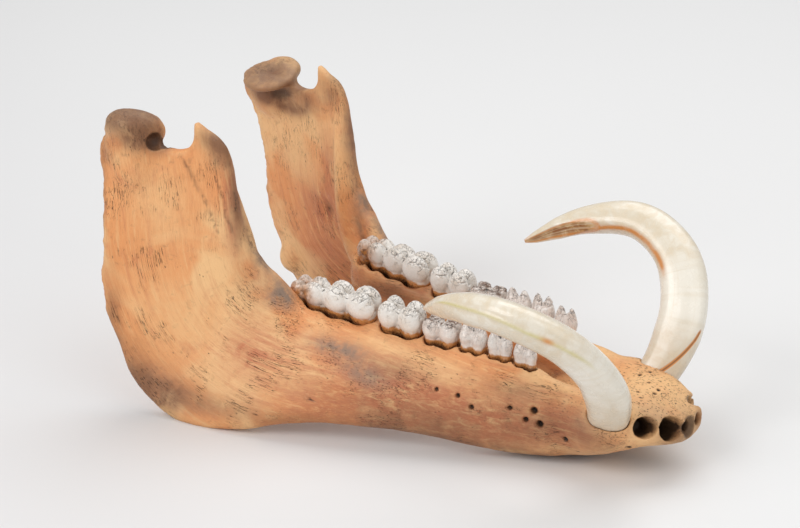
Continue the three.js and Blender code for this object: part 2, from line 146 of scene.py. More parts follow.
def smooth_curve(knots: Sequence[Sequence[float]], shares: Array) -> Array:
    """Run a centripetal curve through every knot.

    Args:
        knots: The points that the curve passes through.
        shares: Where to read it, from 0 at the first knot to 1 at the last.

    Returns:
        One point for each share.
    """
    p = np.asarray(knots, float)
    last = len(p) - 1
    at = np.clip(np.asarray(shares, float), 0.0, 1.0) * last
    start = np.minimum(np.floor(at).astype(int), last - 1)
    t = (at - start)[:, None]
    before = np.where((start > 0)[:, None], p[start - 1], 2 * p[0] - p[1])
    after = np.where((start + 2 <= last)[:, None], p[np.minimum(start + 2, last)], 2 * p[-1] - p[-2])
    a, b = p[start], p[start + 1]
    d0 = np.sqrt(np.linalg.norm(a - before, axis=1))[:, None]
    d1 = np.sqrt(np.linalg.norm(b - a, axis=1))[:, None]
    d2 = np.sqrt(np.linalg.norm(after - b, axis=1))[:, None]
    d1 = np.where(d1 < 1e-4, 1.0, d1)
    d0 = np.where(d0 < 1e-4, d1, d0)
    d2 = np.where(d2 < 1e-4, d1, d2)
    from_a = ((a - before) / d0 - (b - before) / (d0 + d1) + (b - a) / d1) * d1
    from_b = ((b - a) / d1 - (after - a) / (d1 + d2) + (after - b) / d2) * d1
    c2 = 3 * (b - a) - 2 * from_a - from_b
    c3 = 2 * (a - b) + from_a + from_b
    return a + from_a * t + c2 * t**2 + c3 * t**3


def even_curve(knots: Sequence[Sequence[float]], shares: Array) -> tuple[Array, Array]:
    """Read a curve at even steps of its own length.

    Args:
        knots: The points that the curve passes through.
        shares: Shares of its length.

    Returns:
        The points and the unit directions there.
    """
    fine = np.linspace(0, 1, 801)
    points = smooth_curve(knots, fine)
    run = np.concatenate([[0], np.cumsum(np.linalg.norm(np.diff(points, axis=0), axis=1))])
    where = np.interp(np.asarray(shares) * run[-1], run, fine)
    step = 1e-3
    ahead = smooth_curve(knots, np.minimum(where + step, 1))
    behind = smooth_curve(knots, np.maximum(where - step, 0))
    along = ahead - behind
    return smooth_curve(knots, where), along / np.linalg.norm(along, axis=1)[:, None]


@dataclass(frozen=True)
class Noise:
    """Smooth lattice noise with a fixed seed."""

    seed: int

    def _corner(self, cell: Array) -> Array:
        """Give each lattice cell its own unit direction."""
        key = (
            cell[:, 0].astype(np.int64) * 73856093
            ^ cell[:, 1].astype(np.int64) * 19349663
            ^ cell[:, 2].astype(np.int64) * 83492791
            ^ (self.seed * 2654435761)
        )
        key = (key ^ (key >> 13)) * 1274126177
        key = (key ^ (key >> 16)) & 0xFFFFFF
        turn = (key & 0xFFF) / 4096.0 * 2 * math.pi
        rise = ((key >> 12) & 0xFFF) / 4096.0 * 2 - 1
        flat = np.sqrt(1 - rise**2)
        return np.stack([flat * np.cos(turn), flat * np.sin(turn), rise], axis=1)

    def at(self, points: Array, size: float, octaves: int = 3) -> Array:
        """Read the noise.

        Args:
            points: The places, one row each.
            size: The width of the largest features.
            octaves: How many finer layers are added.

        Returns:
            Values of about -1 to 1.
        """
        total = np.zeros(len(points))
        reach = 0.0
        for octave in range(octaves):
            scaled = points / size * 2.0**octave + 17.3 * octave
            total += self._layer(scaled) * 0.55**octave
            reach += 0.55**octave
        return total / reach * 1.6

    def _layer(self, points: Array) -> Array:
        """Read one layer of the noise."""
        base = np.floor(points)
        local = points - base
        fade = local**3 * (local * (local * 6 - 15) + 10)
        total = np.zeros(len(points))
        for corner in np.ndindex(2, 2, 2):
            step = np.array(corner, float)
            weight = np.prod(np.where(step > 0, fade, 1 - fade), axis=1)
            total += weight * (self._corner(base + step) * (local - step)).sum(axis=1)
        return total


@dataclass
class Net:
    """The points and edges of a mesh, for moves made with numbers."""

    points: Array
    edges: Array

    @classmethod
    def of(cls, piece: bpy.types.Object) -> "Net":
        """Read a piece's mesh in measured millimetres.

        Args:
            piece: The mesh object.

        Returns:
            Its net.
        """
        mesh = piece.data
        flat = np.empty(len(mesh.vertices) * 3)
        mesh.vertices.foreach_get("co", flat)
        ends = np.empty(len(mesh.edges) * 2, np.int64)
        mesh.edges.foreach_get("vertices", ends)
        return cls(to_measured(flat.reshape(-1, 3)), ends.reshape(-1, 2))

    def store(self, piece: bpy.types.Object) -> None:
        """Write the points back into a piece's mesh."""
        piece.data.vertices.foreach_set("co", to_row(self.points).ravel())
        piece.data.update()

    def spread(self, values: Array) -> Array:
        """Average each point's neighbours.

        Args:
            values: One row or number for each point.

        Returns:
            The same shape of array, averaged.
        """
        a, b = self.edges[:, 0], self.edges[:, 1]
        count = len(self.points)
        degree = np.bincount(a, minlength=count) + np.bincount(b, minlength=count)
        columns = values.reshape(count, -1)
        out = np.empty_like(columns, float)
        for i in range(columns.shape[1]):
            column = columns[:, i]
            out[:, i] = np.bincount(a, column[b], count) + np.bincount(b, column[a], count)
        return (out / np.maximum(degree, 1)[:, None]).reshape(values.shape)

    def relax(self, strength: Array, steps: int) -> None:
        """Smooth the points towards their neighbours.

        Args:
            strength: How far each point goes, from 0 to 1.
            steps: How many times.
        """
        for _ in range(steps):
            self.points += (self.spread(self.points) - self.points) * strength[:, None]

    def normals(self, piece: bpy.types.Object) -> Array:
        """Store the points, then read each point's outward direction."""
        self.store(piece)
        flat = np.empty(len(self.points) * 3, np.float32)
        piece.data.vertices.foreach_get("normal", flat)
        return flat.reshape(-1, 3).astype(float)

    def hollows(self, normals: Array, steps: int) -> Array:
        """Measure how hollow the surface is: positive in dents, negative on bumps.

        Args:
            normals: Outward directions.
            steps: How wide a neighbourhood counts.

        Returns:
            A depth in millimetres for each point.
        """
        wide = self.points.copy()
        for _ in range(steps):
            wide = self.spread(wide)
        return ((wide - self.points) * normals).sum(axis=1)


# Modelling steps


def choose(*pieces: bpy.types.Object) -> None:
    """Select these pieces alone and make the first one active."""
    bpy.ops.object.select_all(action="DESELECT")
    for piece in pieces:
        piece.select_set(True)
    bpy.context.view_layer.objects.active = pieces[0]


def skin(name: str, rings: Array) -> bpy.types.Object:
    """Close a sheet of faces round rings of points.

    Args:
        name: The name of the new piece.
        rings: Points by ring and by place round the ring, in measured millimetres.

    Returns:
        The closed mesh object.
    """
    count, around = rings.shape[:2]
    bpy.ops.object.select_all(action="DESELECT")
    bpy.ops.mesh.primitive_grid_add(x_subdivisions=count - 1, y_subdivisions=around, size=1)
    piece = bpy.context.object
    piece.name = name
    wrapped = np.concatenate([rings, rings[:, :1]], axis=1)
    piece.data.vertices.foreach_set("co", to_row(wrapped.transpose(1, 0, 2).reshape(-1, 3)).ravel())
    bpy.ops.object.mode_set(mode="EDIT")
    bpy.ops.mesh.select_all(action="SELECT")
    bpy.ops.mesh.remove_doubles(threshold=1e-7)
    bpy.ops.mesh.select_all(action="SELECT")
    bpy.ops.mesh.fill_holes(sides=0)
    bpy.ops.mesh.select_all(action="SELECT")
    bpy.ops.mesh.normals_make_consistent(inside=False)
    bpy.ops.object.mode_set(mode="OBJECT")
    return piece


def lump(name: str, centre: Sequence[float], radii: Sequence[float], roll: float = 0.0,
         squareness: float = 2.0) -> bpy.types.Object:
    """Add a rounded lump.

    Args:
        name: The name of the new piece.
        centre: Its middle, in measured millimetres.
        radii: Its half sizes.
        roll: How far it is turned about the x axis, in radians.
        squareness: 2 for an egg; more for a disc with a sharper rim.

    Returns:
        The mesh object.
    """
    bpy.ops.object.select_all(action="DESELECT")
    bpy.ops.mesh.primitive_uv_sphere_add(segments=40, ring_count=24, radius=1)
    piece = bpy.context.object
    piece.name = name
    flat = np.empty(len(piece.data.vertices) * 3)
    piece.data.vertices.foreach_get("co", flat)
    points = flat.reshape(-1, 3)
    rim = np.hypot(points[:, 0], points[:, 1])
    reach = (rim**squareness + np.abs(points[:, 2]) ** squareness) ** (1 / squareness)
    piece.data.vertices.foreach_set("co", (points / reach[:, None]).ravel())
    turn = Matrix.Rotation(roll, 4, "X") @ Matrix.Diagonal([*(r * MM for r in radii), 1])
    piece.data.transform(Matrix.Translation(Vector(to_row(np.array(centre)))) @ turn)
    return piece


def mirrored(piece: bpy.types.Object) -> bpy.types.Object:
    """Copy a piece to the other side of the midline.

    Args:
        piece: The mesh object to copy.

    Returns:
        The copy, facing outwards.
    """
    choose(piece)
    bpy.ops.object.duplicate()
    copy = bpy.context.object
    copy.data.transform(Matrix.Diagonal([1, -1, 1, 1]))
    copy.data.flip_normals()
    return copy


def apply(piece: bpy.types.Object, kind: str, **settings: object) -> None:
    """Add a modifier to a piece and apply it.

    Args:
        piece: The mesh object.
        kind: The modifier's type.
        settings: Its settings.
    """
    modifier = piece.modifiers.new(kind.lower(), kind)
    for key, value in settings.items():
        setattr(modifier, key, value)
    choose(piece)
    bpy.ops.object.modifier_apply(modifier=modifier.name)


def fuse(pieces: Sequence[bpy.types.Object], voxel: float) -> bpy.types.Object:
    """Join overlapping pieces and wrap them in one even skin.

    Args:
        pieces: The mesh objects; the first keeps its name.
        voxel: The size of the skin's faces, in millimetres.

    Returns:
        The joined piece.
    """
    choose(*pieces)
    if len(pieces) > 1:
        bpy.ops.object.join()
    joined = bpy.context.object
    apply(joined, "REMESH", mode="VOXEL", voxel_size=voxel * MM, adaptivity=0.0)
    return joined


def carve(piece: bpy.types.Object, cutter: bpy.types.Object) -> None:
    """Cut one piece out of another and delete the cutter.

    Args:
        piece: The mesh object that is cut.
        cutter: The mesh object that cuts.
    """
    apply(piece, "BOOLEAN", operation="DIFFERENCE", object=cutter, solver="MANIFOLD")
    bpy.data.objects.remove(cutter, do_unlink=True)


def keep(piece: bpy.types.Object, name: str, values: Array) -> None:
    """Keep a number or a place for each point of a mesh, for its material to read.

    Args:
        piece: The mesh object.
        name: The attribute's name.
        values: One number or three for each point.
    """
    kind, key = ("FLOAT", "value") if values.ndim == 1 else ("FLOAT_VECTOR", "vector")
    attribute = piece.data.attributes.new(name, kind, "POINT")
    attribute.data.foreach_set(key, np.asarray(values, np.float32).ravel())


def dress_piece(piece: bpy.types.Object, material: bpy.types.Material, node: str) -> None:
    """Give a finished piece its material and its place in the frame.

    Args:
        piece: The mesh object.
        material: Its material.
        node: The CAD node that it stands for.
    """
    choose(piece)
    bpy.ops.object.shade_smooth()
    piece.data.materials.clear()
    piece.data.materials.append(material)
    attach(piece, "root")
    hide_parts(node)
    LOG.info("%s: %d points", piece.name, len(piece.data.vertices))


# Finishes

Colour = tuple[float, float, float]


class Weave:
    """A material's node tree, with short ways to add what these finishes use."""

    def __init__(self, name: str) -> None:
        """Start a material with one shader.

        Args:
            name: The material's name.
        """
        self.material = bpy.data.materials.new(name)
        self.material.use_nodes = True
        self.nodes = self.material.node_tree.nodes
        self.links = self.material.node_tree.links
        self.shader = self.nodes["Principled BSDF"]
        self.place = self.nodes.new("ShaderNodeTexCoord").outputs["Object"]

    def _feed(self, socket: bpy.types.NodeSocket, value: object) -> None:
        """Link a socket to another, or set its value."""
        if isinstance(value, bpy.types.NodeSocket):
            self.links.new(value, socket)
        elif value is not None:
            socket.default_value = value

    def mapped(self, place: bpy.types.NodeSocket, scale: Sequence[float], turn: Sequence[float] = (0, 0, 0),
               shift: Sequence[float] = (0, 0, 0)) -> bpy.types.NodeSocket:
        """Scale, turn and shift a place.

        Args:
            place: The place's socket.
            scale: The scale on each axis.
            turn: The turn about each axis, in radians.
            shift: The shift on each axis.

        Returns:
            The new place's socket.
        """
        node = self.nodes.new("ShaderNodeMapping")
        self._feed(node.inputs["Vector"], place)
        node.inputs["Scale"].default_value = tuple(scale)
        node.inputs["Rotation"].default_value = tuple(turn)
        node.inputs["Location"].default_value = tuple(shift)
        return node.outputs["Vector"]

    def noise(self, place: bpy.types.NodeSocket, scale: float, detail: float = 4, rough: float = 0.55,
              warp: float = 0.0) -> bpy.types.NodeSocket:
        """Add noise of about 0 to 1.

        Args:
            place: Where it is read.
            scale: How many features fit in one unit.
            detail: How many finer layers it has.
            rough: How strong the finer layers are.
            warp: How much it is distorted.

        Returns:
            The noise's socket.
        """
        node = self.nodes.new("ShaderNodeTexNoise")
        self._feed(node.inputs["Vector"], place)
        node.inputs["Scale"].default_value = scale
        node.inputs["Detail"].default_value = detail
        node.inputs["Roughness"].default_value = rough
        node.inputs["Distortion"].default_value = warp
        return node.outputs["Fac"]

    def cells(self, place: bpy.types.NodeSocket, scale: float, feature: str = "F1") -> bpy.types.NodeSocket:
        """Add the distance to the nearest of scattered points."""
        node = self.nodes.new("ShaderNodeTexVoronoi")
        node.feature = feature
        self._feed(node.inputs["Vector"], place)
        node.inputs["Scale"].default_value = scale
        return node.outputs["Distance"]

    def value(self, name: str) -> bpy.types.NodeSocket:
        """Read a number kept on the mesh."""
        node = self.nodes.new("ShaderNodeAttribute")
        node.attribute_name = name
        return node.outputs["Fac"]

    def kept_place(self, name: str) -> bpy.types.NodeSocket:
        """Read a place kept on the mesh."""
        node = self.nodes.new("ShaderNodeAttribute")
        node.attribute_name = name
        return node.outputs["Vector"]

    def step(self, value: bpy.types.NodeSocket, low: float, high: float, start: float = 0.0,
             end: float = 1.0) -> bpy.types.NodeSocket:
        """Map a range of a value smoothly to another range.

        Args:
            value: The value's socket.
            low: Where the change starts.
            high: Where it ends.
            start: The result at low.
            end: The result at high.

        Returns:
            The result's socket.
        """
        node = self.nodes.new("ShaderNodeMapRange")
        node.interpolation_type = "SMOOTHSTEP"
        self._feed(node.inputs["Value"], value)
        for key, number in (("From Min", low), ("From Max", high), ("To Min", start), ("To Max", end)):
            node.inputs[key].default_value = number
        return node.outputs["Result"]

    def line(self, value: bpy.types.NodeSocket, low: float, high: float, start: float,
             end: float) -> bpy.types.NodeSocket:
        """Map a value as step does, but along a straight line that runs on beyond both ends."""
        result = self.step(value, low, high, start, end)
        result.node.interpolation_type = "LINEAR"
        result.node.clamp = False
        return result

    def near(self, value: bpy.types.NodeSocket, aim: object, half: float) -> bpy.types.NodeSocket:
        """Give 1 where a value meets an aim, falling to 0 at half a band's width."""
        gap = self.sum("ABSOLUTE", self.sum("SUBTRACT", value, aim), 0.0)
        return self.step(gap, half, 0.0)

    def most(self, *values: object) -> bpy.types.NodeSocket:
        """Take the greatest of several numbers."""
        total = values[0]
        for value in values[1:]:
            total = self.sum("MAXIMUM", total, value)
        return total

    def layered(self, colour: object, *layers: tuple) -> object:
        """Lay colours over one another.

        Args:
            colour: The first colour or its socket.
            layers: How much of each further colour, and the colour.

        Returns:
            The last colour's socket.
        """
        for share, over in layers:
            colour = self.mix(share, colour, over)
        return colour

    def sum(self, operation: str, a: object, b: object) -> bpy.types.NodeSocket:
        """Combine two numbers with one operation."""
        node = self.nodes.new("ShaderNodeMath")
        node.operation = operation
        self._feed(node.inputs[0], a)
        self._feed(node.inputs[1], b)
        return node.outputs[0]

    def times(self, *values: object) -> bpy.types.NodeSocket:
        """Multiply several numbers."""
        total = values[0]
        for value in values[1:]:
            total = self.sum("MULTIPLY", total, value)
        return total

    def mix(self, share: object, a: object, b: object) -> bpy.types.NodeSocket:
        """Mix two colours.

        Args:
            share: How much of the second.
            a: The first colour or its socket.
            b: The second colour or its socket.

        Returns:
            The mixed colour's socket.
        """
        node = self.nodes.new("ShaderNodeMix")
        node.data_type = "RGBA"
        node.clamp_factor = True
        self._feed(node.inputs[0], share)
        for socket, colour in ((node.inputs[6], a), (node.inputs[7], b)):
            self._feed(socket, (*colour, 1.0) if isinstance(colour, tuple) else colour)
        return node.outputs[2]

    def bump(self, height: object, strength: float, distance: float,
             after: Optional[bpy.types.NodeSocket] = None) -> bpy.types.NodeSocket:
        """Raise the surface in the shading.

        Args:
            height: The height's socket.
            strength: How strongly it shows.
            distance: The height of a value of 1, in metres.
            after: A bump that comes before this one.

        Returns:
            The normal's socket.
        """
        node = self.nodes.new("ShaderNodeBump")
        node.inputs["Strength"].default_value = strength
        node.inputs["Distance"].default_value = distance
        self._feed(node.inputs["Height"], height)
        if after is not None:
            self._feed(node.inputs["Normal"], after)
        return node.outputs["Normal"]

    def finish(self, colour: object, roughness: object, normal: Optional[bpy.types.NodeSocket],
               **settings: float) -> bpy.types.Material:
        """Join the last colour, roughness and normal to the shader.

        Args:
            colour: The base colour.
            roughness: The roughness.
            normal: The normal's socket.
            settings: Other inputs of the shader, by name with _ for each space.

        Returns:
            The material.
        """
        self._feed(self.shader.inputs["Base Color"], colour)
        self._feed(self.shader.inputs["Roughness"], roughness)
        if normal is not None:
            self._feed(self.shader.inputs["Normal"], normal)
        for key, number in settings.items():
            self.shader.inputs[key.replace("_", " ")].default_value = number
        return self.material


@dataclass(frozen=True)
class BoneFinish:
    """Old dry bone: sandy orange with paler and browner patches, streaks along the grain and pores."""

    sand: Colour = (0.775, 0.322, 0.118)
    pale: Colour = (0.860, 0.520, 0.245)
    rust: Colour = (0.540, 0.180, 0.080)
    umber: Colour = (0.215, 0.095, 0.045)
    ash: Colour = (0.270, 0.185, 0.135)
    black: Colour = (0.022, 0.012, 0.008)

    def material(self) -> bpy.types.Material:
        """Build the material.

        Returns:
            The material, which reads the attributes grain, hollow, pit, porous, grey, red, glow and brown.
        """
        w = Weave("aged bone")
        grain = w.kept_place("grain")
        wide = w.noise(w.place, 24, 3, 0.5, 0.6)
        patch = w.noise(w.place, 70, 5, 0.62, 0.5)
        mottle = w.noise(w.place, 230, 5, 0.66, 0.4)
        streak = w.noise(w.mapped(grain, (0.030, 0.34, 0.34)), 1.0, 6, 0.66, 0.6)
        fine = w.noise(w.mapped(grain, (0.11, 1.5, 1.5)), 1.0, 4, 0.62, 0.3)
        hollow, glow, porous = w.value("hollow"), w.value("glow"), w.value("porous")
        red = w.sum("ADD", w.value("red"), w.step(patch, 0.54, 0.72, 0.0, 0.4))
        colour = w.layered(
            self.sand,
            (w.step(wide, 0.42, 0.60), self.pale),
            (w.times(glow, w.step(patch, 0.30, 0.62, 0.45, 1.0)), self.pale),
            (w.times(red, w.step(streak, 0.30, 0.60, 0.45, 1.0)), self.rust),
            (w.step(streak, 0.50, 0.70, 0.0, 0.36), self.rust),
            (w.step(streak, 0.46, 0.32, 0.0, 0.45), self.pale),
            (w.step(fine, 0.54, 0.72, 0.0, 0.24), self.umber),
            (w.step(fine, 0.46, 0.34, 0.0, 0.28), self.pale),
            (w.step(mottle, 0.56, 0.72, 0.0, 0.36), self.umber),
            # Painted shade: umber in dents. Painted highlight: paler on bumps.
            (w.step(hollow, 0.06, 0.45, 0.0, 0.75), self.umber),
            (w.step(hollow, -0.08, -0.40, 0.0, 0.40), self.pale),
            (w.times(glow, w.step(mottle, 0.30, 0.60, 0.30, 0.75)), self.pale),
            (w.times(w.value("grey"), w.step(mottle, 0.34, 0.58, 0.55, 1.0)), self.ash),
            (w.times(w.value("brown"), w.step(patch, 0.30, 0.60, 0.55, 0.95)), self.umber),
        )
        specks = w.cells(w.mapped(grain, (0.26, 0.62, 0.62)), 1.0)
        rare = w.most(w.step(w.noise(w.place, 95, 2), 0.58, 0.74), porous)
        dashes = w.cells(w.mapped(grain, (0.42, 1.25, 1.25), shift=(3, 7, 1)), 1.0)
        crack = w.near(w.noise(w.mapped(grain, (0.045, 0.80, 0.80)), 1.0, 3, 0.5, 0.4), 0.5, 0.016)
        marks = w.most(
            w.times(w.step(specks, 0.20, 0.09), rare),
            w.times(w.step(dashes, 0.30, 0.14), w.step(porous, 0.15, 0.8)),
            w.times(crack, w.step(w.noise(w.place, 55, 3), 0.50, 0.60)),
        )
        # pit paints shade inside foramina, incisor sockets and breaks, and adds the real dark cracks.
        dark = w.most(w.times(marks, 0.85), w.value("pit"))
        colour = w.mix(dark, colour, self.black)
        roughness = w.step(mottle, 0.2, 0.8, 0.40, 0.60)
        normal = w.bump(w.sum("ADD", w.times(fine, 0.6), streak), 0.7, 0.0005)
        normal = w.bump(w.sum("SUBTRACT", w.times(mottle, 0.45), dark), 0.7, 0.0006, normal)
        return w.finish(colour, roughness, normal, IOR=1.45, Specular_IOR_Level=0.45)


@dataclass(frozen=True)
class EnamelFinish:
    """Stained teeth: white enamel, worn tops that show dentine, and dark fissures and brown roots, both
    partly painted shade.
    """

    white: Colour = (0.790, 0.745, 0.690)
    cream: Colour = (0.700, 0.590, 0.480)
    pink: Colour = (0.740, 0.610, 0.550)
    amber: Colour = (0.520, 0.225, 0.070)
    brown: Colour = (0.170, 0.075, 0.032)
    black: Colour = (0.020, 0.014, 0.011)

    def material(self) -> bpy.types.Material:
        """Build the material.

        Returns:
            The material, which reads the attributes hollow, rise, wear, stain, blade and local.
        """
        w = Weave("stained enamel")
        local = w.kept_place("local")
        broad = w.noise(w.place, 190, 4, 0.6, 0.4)
        spots = w.noise(w.place, 560, 5, 0.65, 0.6)
        web = w.cells(w.mapped(local, (0.33, 0.33, 0.33)), 1.0, "DISTANCE_TO_EDGE")
        net = w.cells(w.mapped(local, (0.75, 0.75, 0.55), shift=(4, 2, 9)), 1.0, "DISTANCE_TO_EDGE")
        rise = w.sum("ADD", w.value("rise"), w.step(broad, 0.25, 0.75, -0.08, 0.08))
        blade, stained = w.value("blade"), w.value("stain")
        stain = w.times(stained, w.step(broad, 0.34, 0.56, 0.45, 1.0), w.step(rise, 0.85, 0.35, 0.35, 1.0))
        # root carries painted shade at the foot of the crown as well as the roots' own brown.
        root = w.sum("ADD", rise, w.step(spots, 0.3, 0.7, -0.1, 0.1))
        colour = w.layered(
            self.white,
            (w.step(broad, 0.46, 0.66, 0.0, 0.5), self.cream),
            (w.times(w.step(rise, 0.26, -0.02, 0.0, 0.7), w.step(spots, 0.42, 0.60)), self.cream),
            (w.times(blade, w.step(broad, 0.35, 0.60, 0.15, 0.50)), self.pink),
            # Amber and brown at the foot: the roots' own colour and painted shade of the gap round the
            # socket.
            (w.step(rise, 0.02, -0.09), self.amber),
            (stain, self.amber),
            (w.times(stain, w.step(spots, 0.46, 0.62)), self.brown),
            (w.step(root, -0.12, -0.34), self.brown),
            (w.times(w.value("wear"), w.step(spots, 0.38, 0.58, 0.2, 1.0)), self.brown),
        )
        wave = w.noise(w.mapped(local, (0.9, 0.5, 0.06), shift=(5, 1, 2)), 1.0, 3, 0.6, 0.5)
        stria = w.near(wave, 0.5, 0.020)
        dark = w.most(
            # Painted shade in the hollows between the cusps, with some stain in the fissures.
            w.times(w.step(w.value("hollow"), 0.05, 0.20), w.step(spots, 0.26, 0.50, 0.5, 1.0)),
            w.times(w.step(web, 0.035, 0.0), w.step(broad, 0.50, 0.60), w.step(rise, 0.25, 0.70)),
            w.times(w.step(net, 0.11, 0.0), w.step(rise, 0.55, 0.95), w.step(spots, 0.40, 0.56)),
            w.times(stria, blade, w.step(rise, 0.1, 0.4, 0.0, 0.5)),
        )
        colour = w.mix(w.times(dark, 0.93), colour, self.black)
        roughness = w.sum("ADD", w.step(spots, 0.3, 0.7, 0.20, 0.32), w.times(dark, 0.3))
        normal = w.bump(w.sum("SUBTRACT", w.times(spots, 0.35), dark), 0.5, 0.0003)
        return w.finish(colour, roughness, normal, IOR=1.6, Coat_Weight=0.25, Coat_Roughness=0.16)


@dataclass(frozen=True)
class IvoryFinish:
    """Tusk ivory: cream with faint growth bands, a yellow line on the flank and a brown inner edge.

    The split is a stained crack near the root, given by where it starts and ends along the tusk and
    by the angles round it there.
    """

    split_share: tuple[float, float] = (0.184, 0.305)
    split_turn: tuple[float, float] = (71.0, 19.0)
    cream: Colour = (0.770, 0.705, 0.585)
    milk: Colour = (0.850, 0.800, 0.700)
    beige: Colour = (0.700, 0.590, 0.430)
    straw: Colour = (0.640, 0.560, 0.270)
    tan: Colour = (0.600, 0.400, 0.190)
    rust: Colour = (0.660, 0.270, 0.075)
    brown: Colour = (0.300, 0.125, 0.045)

    def material(self) -> bpy.types.Material:
        """Build the material.

        Returns:
            The material, which reads the attributes grain, edge, facet, base, line, upper, spot, share,
            turn and split.
        """
        w = Weave("tusk ivory")
        grain = w.kept_place("grain")
        cloud = w.noise(w.place, 38, 4, 0.55, 0.5)
        bands = w.noise(w.mapped(grain, (0.28, 0.02, 0.02)), 1.0, 4, 0.6, 0.3)
        lines = w.noise(w.mapped(grain, (0.012, 0.50, 0.50)), 1.0, 5, 0.6, 0.3)
        mottle = w.noise(w.place, 170, 5, 0.62, 0.4)
        facet = w.times(w.value("facet"), w.step(lines, 0.40, 0.60, 0.40, 1.0))
        share = w.value("share")
        aim = w.line(share, *self.split_share, *self.split_turn)
        gap = w.sum("ABSOLUTE", w.sum("SUBTRACT", w.value("turn"), aim), 0.0)
        ended = w.step(share, self.split_share[1] + 0.007, self.split_share[1] - 0.005)
        split = w.times(w.step(gap, 8.0, 4.5), ended, w.value("split"))
        colour = w.layered(
            self.milk,
            (w.step(cloud, 0.38, 0.62), self.cream),
            (w.times(w.value("upper"), w.step(mottle, 0.34, 0.62, 0.25, 1.0), 0.85), self.beige),
            (w.step(bands, 0.48, 0.70, 0.0, 0.28), self.beige),
            (w.step(mottle, 0.60, 0.76, 0.0, 0.22), self.tan),
            (w.step(lines, 0.54, 0.72, 0.0, 0.30), self.beige),
            (w.times(w.value("line"), w.step(cloud, 0.2, 0.6, 0.6, 1.0)), self.straw),
            (w.times(w.value("base"), w.step(mottle, 0.3, 0.6, 0.4, 1.0)), self.tan),
            (w.times(w.value("edge"), w.step(mottle, 0.30, 0.60, 0.60, 1.0)), self.rust),
            (facet, self.tan),
            (w.times(facet, w.step(mottle, 0.42, 0.60)), self.brown),
            (w.value("spot"), self.rust),
            (split, self.rust),
            (w.times(w.step(gap, 3.2, 1.2), split), self.brown),
        )
        roughness = w.step(mottle, 0.2, 0.8, 0.18, 0.34)
        relief = w.sum("ADD", w.times(bands, 0.6), w.times(lines, 0.5))
        normal = w.bump(w.sum("SUBTRACT", relief, w.times(split, 1.5)), 0.35, 0.00035)
        return w.finish(colour, roughness, normal, IOR=1.54, Coat_Weight=0.3, Coat_Roughness=0.12)


@dataclass(frozen=True)
class FloorFinish:
    """The plain pale table, darkened towards the camera with painted shade."""

    white: Colour = (0.80, 0.80, 0.80)
    shade: Colour = (0.70, 0.695, 0.70)
    turn: float = 0.555

    def material(self) -> bpy.types.Material:
        """Build the material."""
        w = Weave("pale table")
        faint = w.noise(w.place, 3, 2)
        colour = w.mix(w.step(faint, 0.3, 0.7, 0.0, 0.03), self.white, self.shade)
        axes = w.nodes.new("ShaderNodeSeparateXYZ")
        w.links.new(w.mapped(w.place, (1, 1, 1), (0, 0, self.turn)), axes.inputs["Vector"])
        # Painted shade: the table darkens towards the camera.
        colour = w.mix(w.step(axes.outputs["Y"], 0.15, -0.25, 0.0, 0.8), colour, self.shade)
        return w.finish(colour, 0.85, None)


# The jaw bone

# Stations along one half, from the chin to the top of the ramus: the lower edge, the upper edge,
# half the thickness at the lower edge, halfway and at the upper edge, and how far the middle bulges.
HALF_STATIONS = (
    ((253, 14, 12), (250, 19, 38), (3, 5.5, 2.5), 0),
    ((243, 16.5, 7.5), (240, 21.5, 42.5), (4.5, 7.5, 3.5), 1),
    ((232, 20, 3.8), (230, 22.3, 44.5), (5.5, 8, 3.5), 1.5),
    ((214, 26.5, 3), (217, 21.3, 46), (6.5, 8.5, 4.5), 1.5),
    ((192, 34.5, 5.3), (198, 21.8, 47), (7, 9.5, 6), 2),
    ((173, 41, 7.9), (178, 22.6, 48), (7.5, 10.5, 8), 2.5),
    ((157, 47, 9.7), (160, 24, 49), (7.5, 11, 9), 3),
    ((135, 55, 10.3), (139, 26.5, 50.5), (7, 11.5, 10), 3),
    ((117, 61, 10.2), (119, 29.5, 53), (6.5, 11, 10.5), 3),
    ((99, 67, 7), (105, 32.5, 57), (5.5, 9.5, 10), 3),
    ((87, 70.5, 3.2), (97, 36, 62), (5, 8, 8), 2.5),
    ((74, 73.3, 1), (93.5, 39.5, 68), (4.8, 6, 6.5), 1.5),
    ((59, 75, -0.6), (89, 42.5, 74.5), (4.6, 4.5, 5.6), 0.5),
    ((43.5, 75.3, 0.2), (84, 45, 80.5), (4.6, 3.8, 5), 0),
    ((28.5, 75.2, 7.3), (79.3, 47, 86.5), (4.4, 3.5, 4.8), -1),
    ((17.5, 75, 18.5), (76.2, 48.3, 91.5), (4.3, 3.4, 4.6), -1),
    ((10.3, 75, 34), (74, 49.3, 97), (4.2, 3.3, 4.4), -1),
    ((4, 74.6, 50), (72.5, 50, 102.5), (4.1, 3.2, 4.3), -1),
    ((1, 73.7, 68), (71.2, 50.5, 109.5), (4.1, 3.1, 4.2), -1),
    ((1.6, 72, 86), (70.2, 50.8, 117.5), (4.1, 3.2, 4), -1),
    ((1.4, 69.5, 104), (69.4, 51, 125.5), (4.3, 3.3, 3.8), -1),
    ((-0.4, 66, 119), (68.5, 51.2, 133), (4.8, 3.4, 3.4), 0),
    ((-3.8, 63, 131.5), (66.3, 51.8, 141), (6.4, 3.6, 2.8), 0),
    ((0, 61, 142), (60, 52.8, 149.5), (9, 4, 2.4), 0),
    ((3, 60.5, 150), (51, 53.3, 157), (10, 4, 2.2), 0),
)

